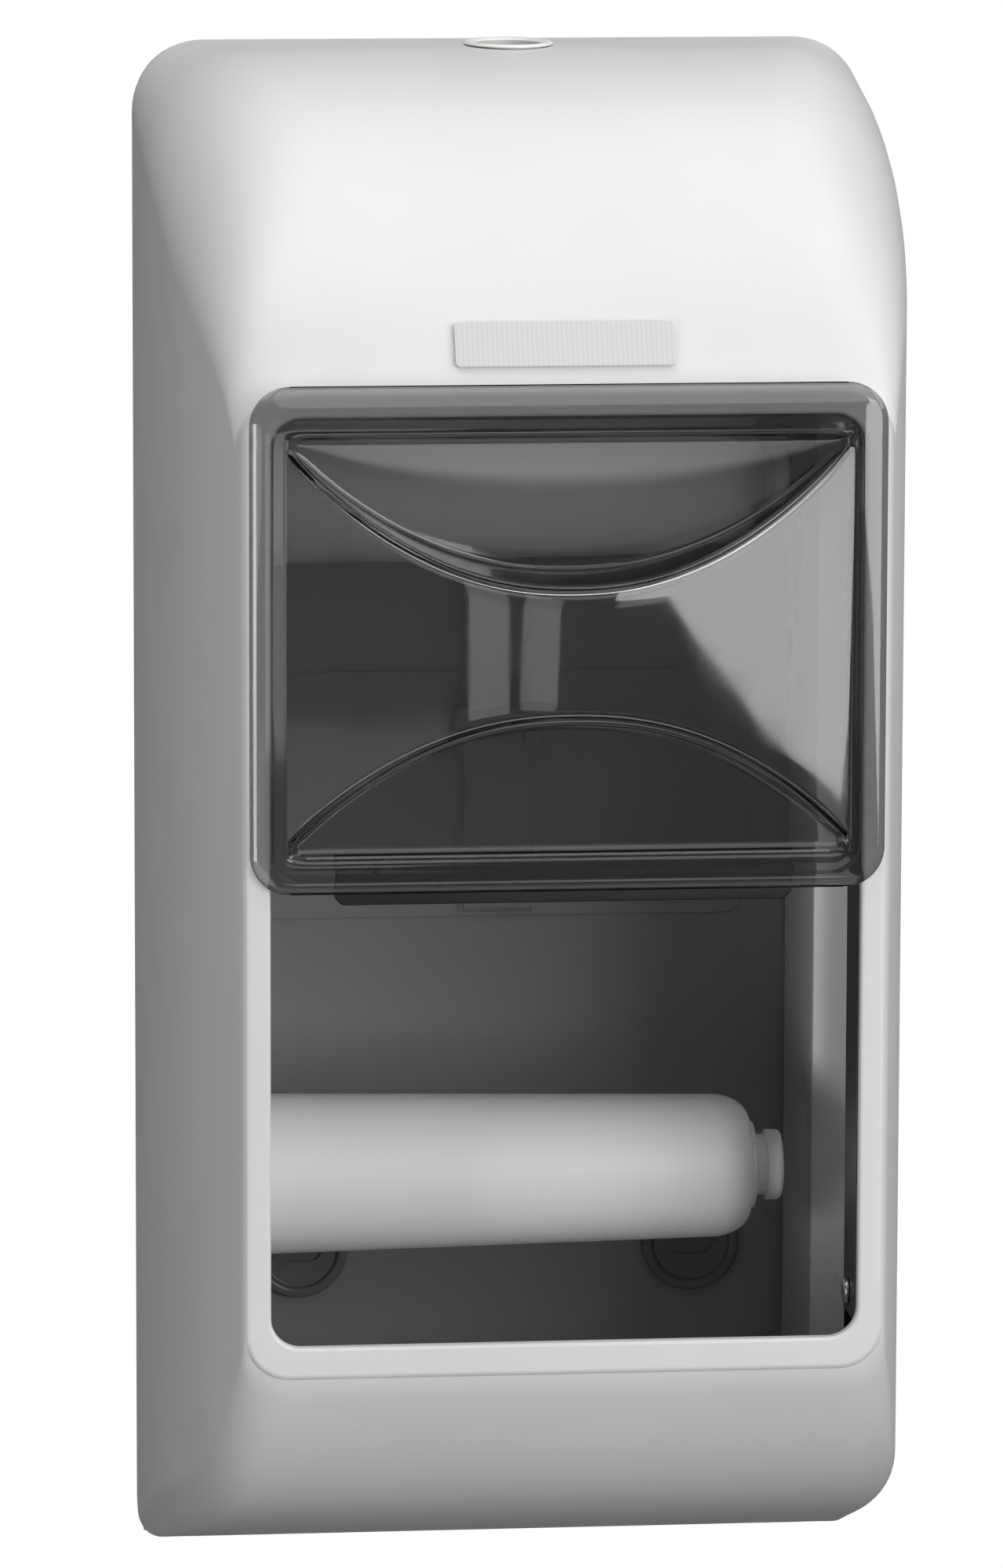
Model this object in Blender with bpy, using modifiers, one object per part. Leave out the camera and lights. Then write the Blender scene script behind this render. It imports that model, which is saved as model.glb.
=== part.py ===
"""Double roll toilet paper dispenser, wall hung, with a sliding shutter.

Lengths are in metres. Places are given as (across, out, up): across from the middle of the case,
out from the wall, and up from the case's lower edge. case_point turns them into scene coordinates,
where the wall is the plane Y = 0, the front faces -Y and the origin is the middle of the rear face.
"""

import math

import bmesh
import bpy
from mathutils import Matrix, Vector

# Case
CASE_WIDTH = 0.154
CASE_HEIGHT = 0.319
CASE_DEPTH = 0.134
HALF_WIDTH = CASE_WIDTH / 2
ORIGIN_UP = CASE_HEIGHT / 2
FLANK_TAPER = 0.0128
FLANK_POWER = 3.3
COVER_WALL = 0.0022
TOUCH_GAP = 0.0003
RUNNING_GAP = 0.0006
CUT_OVERRUN = 0.004
JOIN_OVERLAP = 0.0006
WELD_SHARE = 0.03
WELD = TOUCH_GAP * WELD_SHARE

# Roof and floor of the cover, seen from the side
ROOF_FLAT = 0.028
ROOF_DROP = 0.084
ROOF_REACH = CASE_DEPTH - ROOF_FLAT
BROW_HEIGHT = 0.0595
FRAME_TOP_HEIGHT = CASE_HEIGHT - BROW_HEIGHT
FLOOR_FLAT = 0.012
FLOOR_RISE = 0.0616
FLOOR_SLOPE_SHARE = 0.27
FLOOR_POWER = 7
FLOOR_REACH = CASE_DEPTH - FLOOR_FLAT
FLOOR_SWEEP = FLOOR_RISE - FLOOR_SLOPE_SHARE * FLOOR_REACH
CORNER_TOP_REAR = 0.014
CORNER_TOP_MIDDLE = 0.028
CORNER_TOP_FRONT = 0.009
CORNER_FLOOR_REAR = 0.003
CORNER_FLOOR_MIDDLE = 0.011
CORNER_FLOOR_FRONT = 0.009
SWELL_PEAK_SHARE = 0.6
CORNER_SEGMENTS = 7
COVER_SLICES = 17
INNER_SLICES = 15
SLICE_SPREAD_POWER = 0.9
EDGE_ROUND = 0.0009

# Window, set in from the frame round it
FRAME_SIDE = 0.0053
FRAME_TOP_BAND = 0.005
FRAME_BOTTOM_BAND = 0.0067
WINDOW_WIDTH = CASE_WIDTH - 2 * (FLANK_TAPER + FRAME_SIDE)
WINDOW_BOTTOM = FLOOR_RISE + FRAME_BOTTOM_BAND
WINDOW_TOP = FRAME_TOP_HEIGHT - FRAME_TOP_BAND
WINDOW_CORNER = 0.006

# Hinge at the lower rear edge
HINGE_OUT = 0.008
HINGE_UP = 0.0052
COVER_REAR_OUT = HINGE_OUT - HINGE_UP
HINGE_PIN_RADIUS = 0.002
HINGE_PIN_HOLE_GAP = 0.0003
KNUCKLE_RADIUS = 0.0046
KNUCKLE_INSET = 0.011
KNUCKLE_WIDTH = 0.004
KNUCKLE_INNER = HALF_WIDTH - KNUCKLE_INSET
WEB_HALF_SHARE = 0.7
HINGE_PIN_LENGTH = 0.0098
HINGE_PIN_TAIL = 0.0005
HINGE_PIN_START = KNUCKLE_INNER - HINGE_PIN_TAIL
COVER_BOSS_RADIUS = 0.0045
NOTCH_REACH = 0.0132
NOTCH_HEIGHT = 0.0104

# Back plate
PLATE_THICKNESS = 0.0022
PLATE_EDGE_INSET = 0.0005
MID_PANEL_RISE = 0.0008
MID_PANEL_BELOW_MIDDLE = 0.0275
MID_PANEL_ABOVE_MIDDLE = 0.0255
MID_PANEL_SIDE_INSET = 0.024
MID_PANEL_LOW = ORIGIN_UP - MID_PANEL_BELOW_MIDDLE
MID_PANEL_HIGH = ORIGIN_UP + MID_PANEL_ABOVE_MIDDLE
MID_PANEL_WIDTH = CASE_WIDTH - 2 * MID_PANEL_SIDE_INSET
MID_PANEL_CORNER = 0.004

# Left cheek of the back plate
CHEEK_THICKNESS = 0.002
CHEEK_INSET = 0.0149
CHEEK_LEAN = 0.0019
CHEEK_INNER_REAR = HALF_WIDTH - CHEEK_INSET
CHEEK_INNER_FRONT = CHEEK_INNER_REAR - CHEEK_LEAN
CHEEK_FRONT_INSET = 0.0245
CHEEK_REACH = CASE_DEPTH - CHEEK_FRONT_INSET
CHEEK_SHOULDER_RUN = 0.0245
CHEEK_SHOULDER_OUT = CHEEK_REACH - CHEEK_SHOULDER_RUN
CHEEK_BOTTOM = 0.012
CHEEK_LOW_SHOULDER_UP = 0.026
CHEEK_FRONT_BOTTOM = 0.042
CHEEK_TOP_DROP = 0.022
CHEEK_SHOULDER_DROP = 0.035
CHEEK_FRONT_DROP = 0.057
CHEEK_TOP = CASE_HEIGHT - CHEEK_TOP_DROP
CHEEK_HIGH_SHOULDER_UP = CASE_HEIGHT - CHEEK_SHOULDER_DROP
CHEEK_FRONT_TOP = CASE_HEIGHT - CHEEK_FRONT_DROP

# Roll guard on the cover's right
GUARD_REAR_OUT = 0.0048
GUARD_REACH = 0.0545
GUARD_BEND_RADIUS = 0.003
GUARD_FLANGE_INSET = 0.0089
GUARD_FLANGE_FALL = 0.0009
GUARD_FLANGE_STEPS = 5
GUARD_FLANGE_EDGE = HALF_WIDTH - GUARD_FLANGE_INSET
GUARD_BOTTOM = 0.016
GUARD_TOP_DROP = 0.027
GUARD_TOP = CASE_HEIGHT - GUARD_TOP_DROP
GUARD_SCREW_OUT = 0.030
GUARD_SCREW_RISE = 0.020
GUARD_SCREW_DROP = 0.028
GUARD_SCREW_LOW_UP = GUARD_BOTTOM + GUARD_SCREW_RISE
GUARD_SCREW_HIGH_UP = GUARD_TOP - GUARD_SCREW_DROP
GUARD_SCREW_RADIUS = 0.0015
GUARD_SCREW_LENGTH = 0.0075
GUARD_HEAD_RADIUS = 0.003
GUARD_HEAD_THICKNESS = 0.0014
GUARD_BOSS_RADIUS = 0.0035

# Roll spindles, axles and their fittings
LOWER_SPINDLE_UP = 0.0901
UPPER_SPINDLE_DROP = 0.0854
UPPER_SPINDLE_UP = CASE_HEIGHT - UPPER_SPINDLE_DROP
SPINDLE_OUT = CASE_DEPTH / 2
SPINDLE_ROOT_RADIUS = 0.0166
SPINDLE_TIP_RADIUS = 0.0148
SPINDLE_END_RADIUS = 0.009
SPINDLE_END_STEP = 0.0004
SPINDLE_END_DISC = 0.0009
SPINDLE_DOME_LENGTH = 0.0087
SPINDLE_WALL = 0.0018
SPINDLE_SEGMENTS = 36
AXLE_RADIUS = 0.004
AXLE_FLANGE_RADIUS = 0.011
AXLE_FLANGE_THICKNESS = 0.0016
AXLE_TAIL_LENGTH = 0.0047
AXLE_TAIL = CHEEK_INNER_REAR + AXLE_TAIL_LENGTH
WASHER_RADIUS = 0.0095
WASHER_THICKNESS = 0.0008
CAP_NECK_RADIUS = 0.0063
CAP_NECK_LENGTH = 0.0021
CAP_HEAD_RADIUS = 0.0073
CAP_HEAD_THICKNESS = 0.0034
CAP_CROWN = 0.0017
CAP_ROUND = 0.001
CAP_SIDE_CLEARANCE = 0.0096
CAP_END = CHEEK_INNER_REAR - CAP_SIDE_CLEARANCE
CAP_HEAD_START = CAP_END - CAP_HEAD_THICKNESS
AXLE_TIP = CAP_END - CAP_CROWN
SPINDLE_RIGHT = CAP_HEAD_START - CAP_NECK_LENGTH - TOUCH_GAP
SPINDLE_TAPER_END = SPINDLE_RIGHT - SPINDLE_DOME_LENGTH
NUT_CORNER_RADIUS = 0.0075
NUT_THICKNESS = 0.0034
NUT_SIDES = 6

# Seats for the wall screws
SCREW_SIDE_INSET = 0.0348
SCREW_SPACING = CASE_WIDTH - 2 * SCREW_SIDE_INSET
LOWER_SCREW_UP = 0.0603
UPPER_SCREW_UP = CASE_HEIGHT - LOWER_SCREW_UP
CUP_RADIUS = 0.0104
CUP_RING_WIDTH = 0.0023
CUP_RING_INNER_SHARE = 0.7
CUP_RING_OUTER_SHARE = 0.2
CUP_RING_HEIGHT = 0.0021
CUP_SHOULDER_SHARE = 0.75
CUP_FLOOR = 0.0009
CUP_SLOT_LENGTH = 0.0096
CUP_SLOT_WIDTH = 0.005
CUP_SLOT_FLOOR = 0.0004
PLATE_HOLE_RADIUS = 0.004
CUP_SEGMENTS = 32

# Latch strip with its hook and key pad
LATCH_WIDTH = 0.0146
LATCH_THICKNESS = 0.0022
LATCH_REAR_OUT = 0.005
LATCH_BELOW_MIDDLE = 0.026
LATCH_TOP_DROP = 0.011
LATCH_BOTTOM = ORIGIN_UP - LATCH_BELOW_MIDDLE
LATCH_TOP = CASE_HEIGHT - LATCH_TOP_DROP
PAD_RADIUS = 0.0068
PAD_OUT = 0.023
PAD_THICKNESS = 0.0024
PAD_ARM_WIDTH = 0.010
HOOK_REAR_OUT = 0.009
HOOK_THICKNESS = 0.0024
HOOK_RISE = 0.0045
HOOK_WIDTH = 0.010
GUIDE_WALL = 0.0018
GUIDE_LIP = 0.002
GUIDE_HEIGHT = 0.010
LOWER_GUIDE_RISE = 0.0085
UPPER_GUIDE_DROP = 0.051
LOWER_GUIDE_UP = ORIGIN_UP + LOWER_GUIDE_RISE
UPPER_GUIDE_UP = CASE_HEIGHT - UPPER_GUIDE_DROP
SHELF_REACH = 0.0192
SHELF_THICKNESS = 0.0025

# Latch spring
SPRING_OUT = 0.0135
SPRING_RADIUS = 0.0036
SPRING_WIRE_RADIUS = 0.0005
SPRING_TURNS = 6
SPRING_POINTS_PER_TURN = 10

# Keeper plate under the roof
KEEPER_THICKNESS = 0.0016
KEEPER_FLANGE_WIDTH = 0.028
KEEPER_FLANGE_REAR = 0.0036
KEEPER_LEG_WIDTH = 0.012
KEEPER_LEG_DROP = 0.0094
KEEPER_LEG_BOTTOM = CASE_HEIGHT - KEEPER_LEG_DROP
KEEPER_SCREW_SPACING = 0.0212
KEEPER_SCREW_OUT = 0.0062
KEEPER_SCREW_RADIUS = 0.0011
KEEPER_SCREW_DEPTH = 0.0014
KEEPER_HEAD_RADIUS = 0.0021
KEEPER_HEAD_THICKNESS = 0.0012

# Key window in the roof
KEY_WINDOW_WIDTH = 0.0166
KEY_WINDOW_LENGTH = 0.0226
KEY_WINDOW_OUT = 0.0222
ESCUTCHEON_WALL = 0.0014
ESCUTCHEON_LIP = 0.0009
ESCUTCHEON_RISE = 0.0004
ESCUTCHEON_DEPTH = 0.0034

# Badge plate on the brow
BADGE_WIDTH = 0.0436
BADGE_HEIGHT = 0.0092
BADGE_THICKNESS = 0.0007
BADGE_RISE = 0.0081
BADGE_MIDDLE_UP = FRAME_TOP_HEIGHT + BADGE_RISE

# Guide rails
RAIL_INSET = 0.0177
RAIL_WIDTH = 0.0023
RAIL_TRACK_WIDTH = 0.0009
RAIL_INNER = HALF_WIDTH - RAIL_INSET
RAIL_OUTER = RAIL_INNER + RAIL_WIDTH
RAIL_TRACK_INNER = RAIL_OUTER - RAIL_TRACK_WIDTH
RAIL_REAR_INSET = 0.022
RAIL_SHOULDER_INSET = 0.007
RAIL_REAR_OUT = CASE_DEPTH - RAIL_REAR_INSET
RAIL_SHOULDER_OUT = CASE_DEPTH - RAIL_SHOULDER_INSET
RAIL_BOTTOM_INSET = 0.0013
RAIL_TOP_INSET = 0.0021
RAIL_BOTTOM = WINDOW_BOTTOM + RAIL_BOTTOM_INSET
RAIL_TOP = WINDOW_TOP - RAIL_TOP_INSET
RAIL_SCREW_RUN = 0.0065
RAIL_SCREW_INSET = 0.0049
RAIL_SCREW_OUT = RAIL_REAR_OUT + RAIL_SCREW_RUN
RAIL_SCREW_LOW_UP = RAIL_BOTTOM + RAIL_SCREW_INSET
RAIL_SCREW_HIGH_UP = RAIL_TOP - RAIL_SCREW_INSET
RAIL_SCREW_RADIUS = 0.0014
RAIL_HEAD_RADIUS = 0.0026
RAIL_HEAD_THICKNESS = 0.0011
RAIL_BOSS_RADIUS = 0.0032
RAIL_SCREW_LENGTH = 0.0046

# Shutter
SHUTTER_SIDE_INSET = 0.001
SHUTTER_TOP_LAP = 0.0065
SHUTTER_HALF_LAP = 0.0077
SHUTTER_WIDTH = CASE_WIDTH - 2 * (FLANK_TAPER + SHUTTER_SIDE_INSET)
SHUTTER_TOP = WINDOW_TOP + SHUTTER_TOP_LAP
SHUTTER_HEIGHT = (WINDOW_TOP - WINDOW_BOTTOM) / 2 + SHUTTER_HALF_LAP
SHUTTER_BOTTOM = SHUTTER_TOP - SHUTTER_HEIGHT
SHUTTER_CORNER = 0.008
SHUTTER_WALL = 0.0022
SHUTTER_FRONT_RISE = 0.0028
SHUTTER_FRONT_OUT = CASE_DEPTH + SHUTTER_FRONT_RISE
SHUTTER_EDGE_CHAMFER = 0.0008
PANEL_SIDE_INSET = 0.0077
PANEL_HALF_WIDTH = SHUTTER_WIDTH / 2 - PANEL_SIDE_INSET
PANEL_TOP_DROP = 0.0094
PANEL_BOTTOM_RISE = 0.0066
UPPER_RIM_SHARES = (0.22, 0.42, 0.68)
LOWER_RIM_SHARES = (0.76, 0.5, 0.28)
PANEL_STEP = 0.0014
PANEL_STEP_RUN = 0.0016
WAIST_BULGE = 0.0085
UPPER_ARC_DROP = 0.0254
LOWER_ARC_RISE = 0.0238
SCOOP_RECESS = 0.0048
LEDGE_RUN = 0.0014
LEDGE_END_SHARE = 0.125
REAR_LEDGE_SHARE = 0.7
ARC_POWER = 2.2
SKIRT_SIDE_GAP = 0.0005
SKIRT_TOP_GAP = 0.0004
SKIRT_BOTTOM_INSET = 0.0026
SKIRT_REAR_INSET = 0.0062
SKIRT_WIDTH = WINDOW_WIDTH - 2 * SKIRT_SIDE_GAP
SKIRT_TOP = WINDOW_TOP - SKIRT_TOP_GAP
SKIRT_BOTTOM = SHUTTER_BOTTOM + SKIRT_BOTTOM_INSET
SKIRT_REAR_OUT = CASE_DEPTH - SKIRT_REAR_INSET
SKIRT_WALL = 0.0022
SKIRT_CORNER = 0.0056
FOOT_REACH = RAIL_TRACK_INNER - TOUCH_GAP
FOOT_THICKNESS = 0.0021
FOOT_END_INSET = 0.0032
PANEL_COLUMNS = 26
COLUMN_EDGE_SHARE = 0.25

# Grip bar behind the shutter's lower edge
GRIP_SIDE_INSET = 0.0126
GRIP_DROP = 0.0037
GRIP_WIDTH = SKIRT_WIDTH - 2 * GRIP_SIDE_INSET
GRIP_BOTTOM = SHUTTER_BOTTOM - GRIP_DROP
GRIP_HEIGHT = 0.0105
GRIP_THICKNESS = 0.0022
GRIP_CHAMFER = 0.0016
GRIP_PIN_RADIUS = 0.00045
GRIP_PIN_END_INSET = 0.0078
GRIP_PIN_RISE = 0.0076
GRIP_PIN_SPACING = GRIP_WIDTH - 2 * GRIP_PIN_END_INSET
GRIP_PIN_UP = GRIP_BOTTOM + GRIP_PIN_RISE
GRIP_PIN_HEAD_RADIUS = 0.0017
GRIP_PIN_HEAD_THICKNESS = 0.0009
GRIP_PIN_BITE = 0.0016

# Rubber shoes on the shutter's feet
SHOE_LENGTH = 0.016
SHOE_WIDTH = 0.0016
SHOE_THICKNESS = 0.0012
SHOE_MIDDLE_UP = (SKIRT_TOP + SKIRT_BOTTOM) / 2


def case_point(across, out, up):
    """Scene place of a point given across, out from the wall and up from the lower edge."""
    return Vector((across, -out, up - ORIGIN_UP))


def clear_scene():
    """Remove every object of the open scene."""
    for item in list(bpy.data.objects):
        bpy.data.objects.remove(item, do_unlink=True)


def new_collection(name):
    """Collection of that name, linked to the scene."""
    collection = bpy.data.collections.new(name)
    bpy.context.scene.collection.children.link(collection)
    return collection


clear_scene()
PARTS = new_collection("double_roll_dispenser")
CUTTERS = new_collection("cutters")


def plastic(name, shade, roughness, alpha=1.0):
    """Plain moulded plastic of one shade of grey."""
    material = bpy.data.materials.new(name)
    material.use_nodes = True
    shader = material.node_tree.nodes["Principled BSDF"]
    shader.inputs["Base Color"].default_value = (shade, shade, shade, 1.0)
    shader.inputs["Roughness"].default_value = roughness
    shader.inputs["Alpha"].default_value = alpha
    return material


def metal(name, shade, roughness):
    """Bare or plated metal of one shade of grey."""
    material = plastic(name, shade, roughness)
    material.node_tree.nodes["Principled BSDF"].inputs["Metallic"].default_value = 1.0
    return material


WHITE_ABS = plastic("white_abs", 0.82, 0.42)
WHITE_ACETAL = plastic("white_acetal", 0.72, 0.34)
GREY_BACK = plastic("dark_grey_plastic", 0.10, 0.30)
SMOKED_CLEAR = plastic("smoked_clear_plastic", 0.08, 0.08, 0.55)
BLACK_PLASTIC = plastic("black_plastic", 0.015, 0.35)
PLATE_GREY = plastic("badge_grey", 0.62, 0.38)
RUBBER = plastic("black_rubber", 0.03, 0.75)
STEEL = metal("zinc_plated_steel", 0.62, 0.32)
SPRING_STEEL = metal("spring_steel", 0.55, 0.28)


def add_object(name, mesh, material=None, helper=False):
    """Object for a mesh: a part of the dispenser, or a hidden helper for a Boolean."""
    item = bpy.data.objects.new(name, mesh)
    if helper:
        CUTTERS.objects.link(item)
        item.hide_render = True
        item.display_type = "WIRE"
    else:
        PARTS.objects.link(item)
        mesh.materials.append(material)
    return item


def mesh_from(name, build):
    """Mesh data made from a filled bmesh."""
    mesh = bpy.data.meshes.new(name)
    build.normal_update()
    build.to_mesh(mesh)
    build.free()
    return mesh


def block(name, low, high, material=None, helper=False):
    """Box between two corners given as (across, out, up)."""
    first = case_point(*low)
    second = case_point(*high)
    build = bmesh.new()
    bmesh.ops.create_cube(build, size=1.0)
    size = [abs(b - a) for a, b in zip(first, second)]
    middle = (first + second) / 2
    bmesh.ops.scale(build, vec=size, verts=build.verts)
    item = add_object(name, mesh_from(name, build), material, helper)
    item.location = middle
    return item


def bar(name, start, end, radius, sides=24, material=None, helper=False):
    """Round bar between two places given as (across, out, up)."""
    first = case_point(*start)
    second = case_point(*end)
    run = second - first
    build = bmesh.new()
    bmesh.ops.create_cone(
        build, cap_ends=True, segments=sides, radius1=radius, radius2=radius, depth=run.length
    )
    item = add_object(name, mesh_from(name, build), material, helper)
    item.data.shade_smooth()
    item.data.set_sharp_from_angle(angle=math.radians(35))
    item.rotation_mode = "QUATERNION"
    item.rotation_quaternion = run.to_track_quat("Z", "Y")
    item.location = (first + second) / 2
    return item


def turned(name, profile, segments, material, closed=True):
    """Turned piece from (radius, height) points that run down the outer side."""
    build = bmesh.new()
    corners = [build.verts.new((radius, 0, height)) for radius, height in profile]
    for first, second in zip(corners, corners[1:]):
        build.edges.new((first, second))
    if closed:
        build.edges.new((corners[-1], corners[0]))
    item = add_object(name, mesh_from(name, build), material)
    screw = item.modifiers.new("turn", "SCREW")
    screw.steps = segments
    screw.render_steps = segments
    screw.use_merge_vertices = True
    screw.merge_threshold = WELD
    screw.use_smooth_shade = True
    return item


def lay_across(item, across, out, up):
    """Put a turned piece's axis along the case's width, its top to the right."""
    item.rotation_euler = (0, math.radians(90), 0)
    item.location = case_point(across, out, up)


def flat_outline(points):
    """Flat 2D curve data through points, one spline."""
    curve = bpy.data.curves.new("outline", "CURVE")
    curve.dimensions = "2D"
    curve.fill_mode = "BOTH"
    add_spline(curve, points)
    return curve


def add_spline(curve, points):
    """Closed poly spline through points of a 2D curve."""
    spline = curve.splines.new("POLY")
    spline.points.add(len(points) - 1)
    for knot, (x, y) in zip(spline.points, points):
        knot.co = (x, y, 0, 1)
    spline.use_cyclic_u = True


def slab(name, outlines, thickness, place, material=None, helper=False):
    """Flat piece of an even thickness, its outline, and any holes, in the plane of place."""
    curve = flat_outline(outlines[0])
    for hole in outlines[1:]:
        add_spline(curve, hole)
    curve.extrude = thickness / 2
    source = bpy.data.objects.new(name + "_outline", curve)
    bpy.context.scene.collection.objects.link(source)
    bpy.context.view_layer.update()
    graph = bpy.context.evaluated_depsgraph_get()
    mesh = bpy.data.meshes.new_from_object(source.evaluated_get(graph))
    bpy.data.objects.remove(source, do_unlink=True)
    bpy.data.curves.remove(curve)
    build = bmesh.new()
    build.from_mesh(mesh)
    bmesh.ops.remove_doubles(build, verts=build.verts, dist=WELD)
    bmesh.ops.recalc_face_normals(build, faces=build.faces)
    build.to_mesh(mesh)
    build.free()
    mesh.materials.clear()
    item = add_object(name, mesh, material, helper)
    item.matrix_world = place
    return item


def rounded_box(half_width, bottom, top, radius_bottom, radius_top, segments=CORNER_SEGMENTS):
    """Points of an upright box outline with rounded corners, counterclockwise from lower right."""
    corners = (
        (half_width - radius_bottom, bottom + radius_bottom, radius_bottom, -90),
        (half_width - radius_top, top - radius_top, radius_top, 0),
        (-half_width + radius_top, top - radius_top, radius_top, 90),
        (-half_width + radius_bottom, bottom + radius_bottom, radius_bottom, 180),
    )
    points = []
    for x, y, radius, start in corners:
        for step in range(segments + 1):
            angle = math.radians(start + 90 * step / segments)
            points.append((x + radius * math.cos(angle), y + radius * math.sin(angle)))
    return points


def ellipse(width, length, segments=28):
    """Points of an ellipse about the origin."""
    turn = 2 * math.pi / segments
    return [(math.cos(turn * n) * width / 2, math.sin(turn * n) * length / 2) for n in range(segments)]


def facing_front(out, up):
    """Plane parallel to the wall: x across, y up, middle of the slab at out."""
    return Matrix.Translation(case_point(0, out, up)) @ Matrix.Rotation(math.radians(90), 4, "X")


def facing_up(out, up):
    """Level plane: x across, y towards the wall."""
    return Matrix.Translation(case_point(0, out, up))


def facing_side(across):
    """Plane square to the width: x out from the wall, y up."""
    turn = Matrix(((0, 0, -1, 0), (-1, 0, 0, 0), (0, 1, 0, 0), (0, 0, 0, 1)))
    return Matrix.Translation(case_point(across, 0, 0)) @ turn


def boolean(item, helper, operation):
    """Cut or join an object with a helper object."""
    modifier = item.modifiers.new(helper.name, "BOOLEAN")
    modifier.operation = operation
    modifier.solver = "EXACT"
    modifier.object = helper


def cut(item, *helpers):
    """Cut an object with helpers."""
    for helper in helpers:
        boolean(item, helper, "DIFFERENCE")


def join(item, *helpers):
    """Join helpers to an object."""
    for helper in helpers:
        boolean(item, helper, "UNION")


def pivot(name, place, parent=None):
    """Empty on a joint's axis, which carries the pieces that move with it."""
    empty = bpy.data.objects.new(name, None)
    PARTS.objects.link(empty)
    empty.location = place
    if parent:
        carry(parent, empty)
    return empty


def carry(parent, *items):
    """Parent items to an empty and keep them where they are."""
    for item in items:
        item.parent = parent
        item.matrix_parent_inverse = Matrix.Translation(parent_place(parent)).inverted()


def parent_place(empty):
    """World place of an empty that isn't turned."""
    return empty.location.copy()


# Outer form of the cover


def flank(out):
    """Half width of the case at a distance from the wall."""
    return HALF_WIDTH - FLANK_TAPER * (out / CASE_DEPTH) ** FLANK_POWER


def roof(out):
    """Height of the roof and brow at a distance from the wall."""
    if out <= ROOF_FLAT:
        return CASE_HEIGHT
    share = min(1.0, (out - ROOF_FLAT) / ROOF_REACH)
    height = CASE_HEIGHT - ROOF_DROP + ROOF_DROP * math.sqrt(1 - share * share)
    return max(height, FRAME_TOP_HEIGHT)


def brow_end():
    """Distance from the wall where the brow meets the window frame's top."""
    rise = (FRAME_TOP_HEIGHT - CASE_HEIGHT + ROOF_DROP) / ROOF_DROP
    return ROOF_FLAT + ROOF_REACH * math.sqrt(1 - rise * rise)


def underside(out):
    """Height of the floor at a distance from the wall, round about the hinge at the rear."""
    if out <= HINGE_OUT:
        return HINGE_UP - math.sqrt(max(0.0, HINGE_UP ** 2 - (HINGE_OUT - out) ** 2))
    if out <= FLOOR_FLAT:
        return 0.0
    run = out - FLOOR_FLAT
    return FLOOR_SLOPE_SHARE * run + FLOOR_SWEEP * (run / FLOOR_REACH) ** FLOOR_POWER


def swell(share, rear, middle, front):
    """Corner radius along the depth: rear, then middle, then front."""
    if share < SWELL_PEAK_SHARE:
        return rear + (middle - rear) * math.sin(share / SWELL_PEAK_SHARE * math.pi / 2)
    past = (share - SWELL_PEAK_SHARE) / (1 - SWELL_PEAK_SHARE)
    return front + (middle - front) * math.cos(past * math.pi / 2)


def cover_slice(out):
    """Outline of the cover at a distance from the wall."""
    share = out / CASE_DEPTH
    top_radius = swell(share, CORNER_TOP_REAR, CORNER_TOP_MIDDLE, CORNER_TOP_FRONT)
    floor_radius = swell(share, CORNER_FLOOR_REAR, CORNER_FLOOR_MIDDLE, CORNER_FLOOR_FRONT)
    return rounded_box(flank(out), underside(out), roof(out), floor_radius, top_radius)


def cover_stations():
    """Distances from the wall at which the cover is sliced."""
    hinge_turns = [HINGE_OUT - HINGE_UP * math.cos(math.radians(angle)) for angle in (0, 18, 38, 62, 90)]
    last = brow_end()
    span = last - FLOOR_FLAT
    even = []
    for n in range(COVER_SLICES + 1):
        share = math.sin(n / COVER_SLICES * math.pi / 2) ** SLICE_SPREAD_POWER
        even.append(FLOOR_FLAT + span * share)
    middle = (last + CASE_DEPTH) / 2
    return hinge_turns + even + [middle, CASE_DEPTH]


def leaning_wall(slope):
    """Run of the cover's wall along an axis, where its face leans by a slope."""
    return COVER_WALL * math.sqrt(1 + slope * slope)


def roof_slope(out):
    """Fall of the roof at a distance from the wall."""
    share = max(0, out - ROOF_FLAT) / ROOF_REACH
    return ROOF_DROP / ROOF_REACH * share / math.sqrt(1 - share * share)


def floor_slope(out):
    """Rise of the floor at a distance from the wall."""
    if out <= FLOOR_FLAT:
        return 0
    share = (out - FLOOR_FLAT) / FLOOR_REACH
    return FLOOR_SLOPE_SHARE + FLOOR_POWER * FLOOR_SWEEP / FLOOR_REACH * share ** (FLOOR_POWER - 1)


def inner_floor(out):
    """Height of the floor's inner face, round about the hinge at the rear."""
    radius = HINGE_UP - COVER_WALL
    behind = HINGE_OUT - out
    if behind >= radius:
        return HINGE_UP + behind - radius
    if behind > 0:
        return HINGE_UP - math.sqrt(radius ** 2 - behind ** 2)
    return underside(out) + leaning_wall(floor_slope(out))


def inner_slice(out):
    """Outline of the cover's inner face at a distance from the wall."""
    share = out / CASE_DEPTH
    flank_slope = FLANK_POWER * FLANK_TAPER / CASE_DEPTH * share ** (FLANK_POWER - 1)
    half = flank(out) - leaning_wall(flank_slope)
    top = FRAME_TOP_HEIGHT - COVER_WALL
    if out < brow_end():
        top = max(top, roof(out) - leaning_wall(roof_slope(out)))
    top_radius = swell(share, CORNER_TOP_REAR, CORNER_TOP_MIDDLE, CORNER_TOP_FRONT) - COVER_WALL
    floor_radius = swell(share, CORNER_FLOOR_REAR, CORNER_FLOOR_MIDDLE, CORNER_FLOOR_FRONT) - COVER_WALL
    return rounded_box(half, inner_floor(out), top, floor_radius, top_radius)


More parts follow.
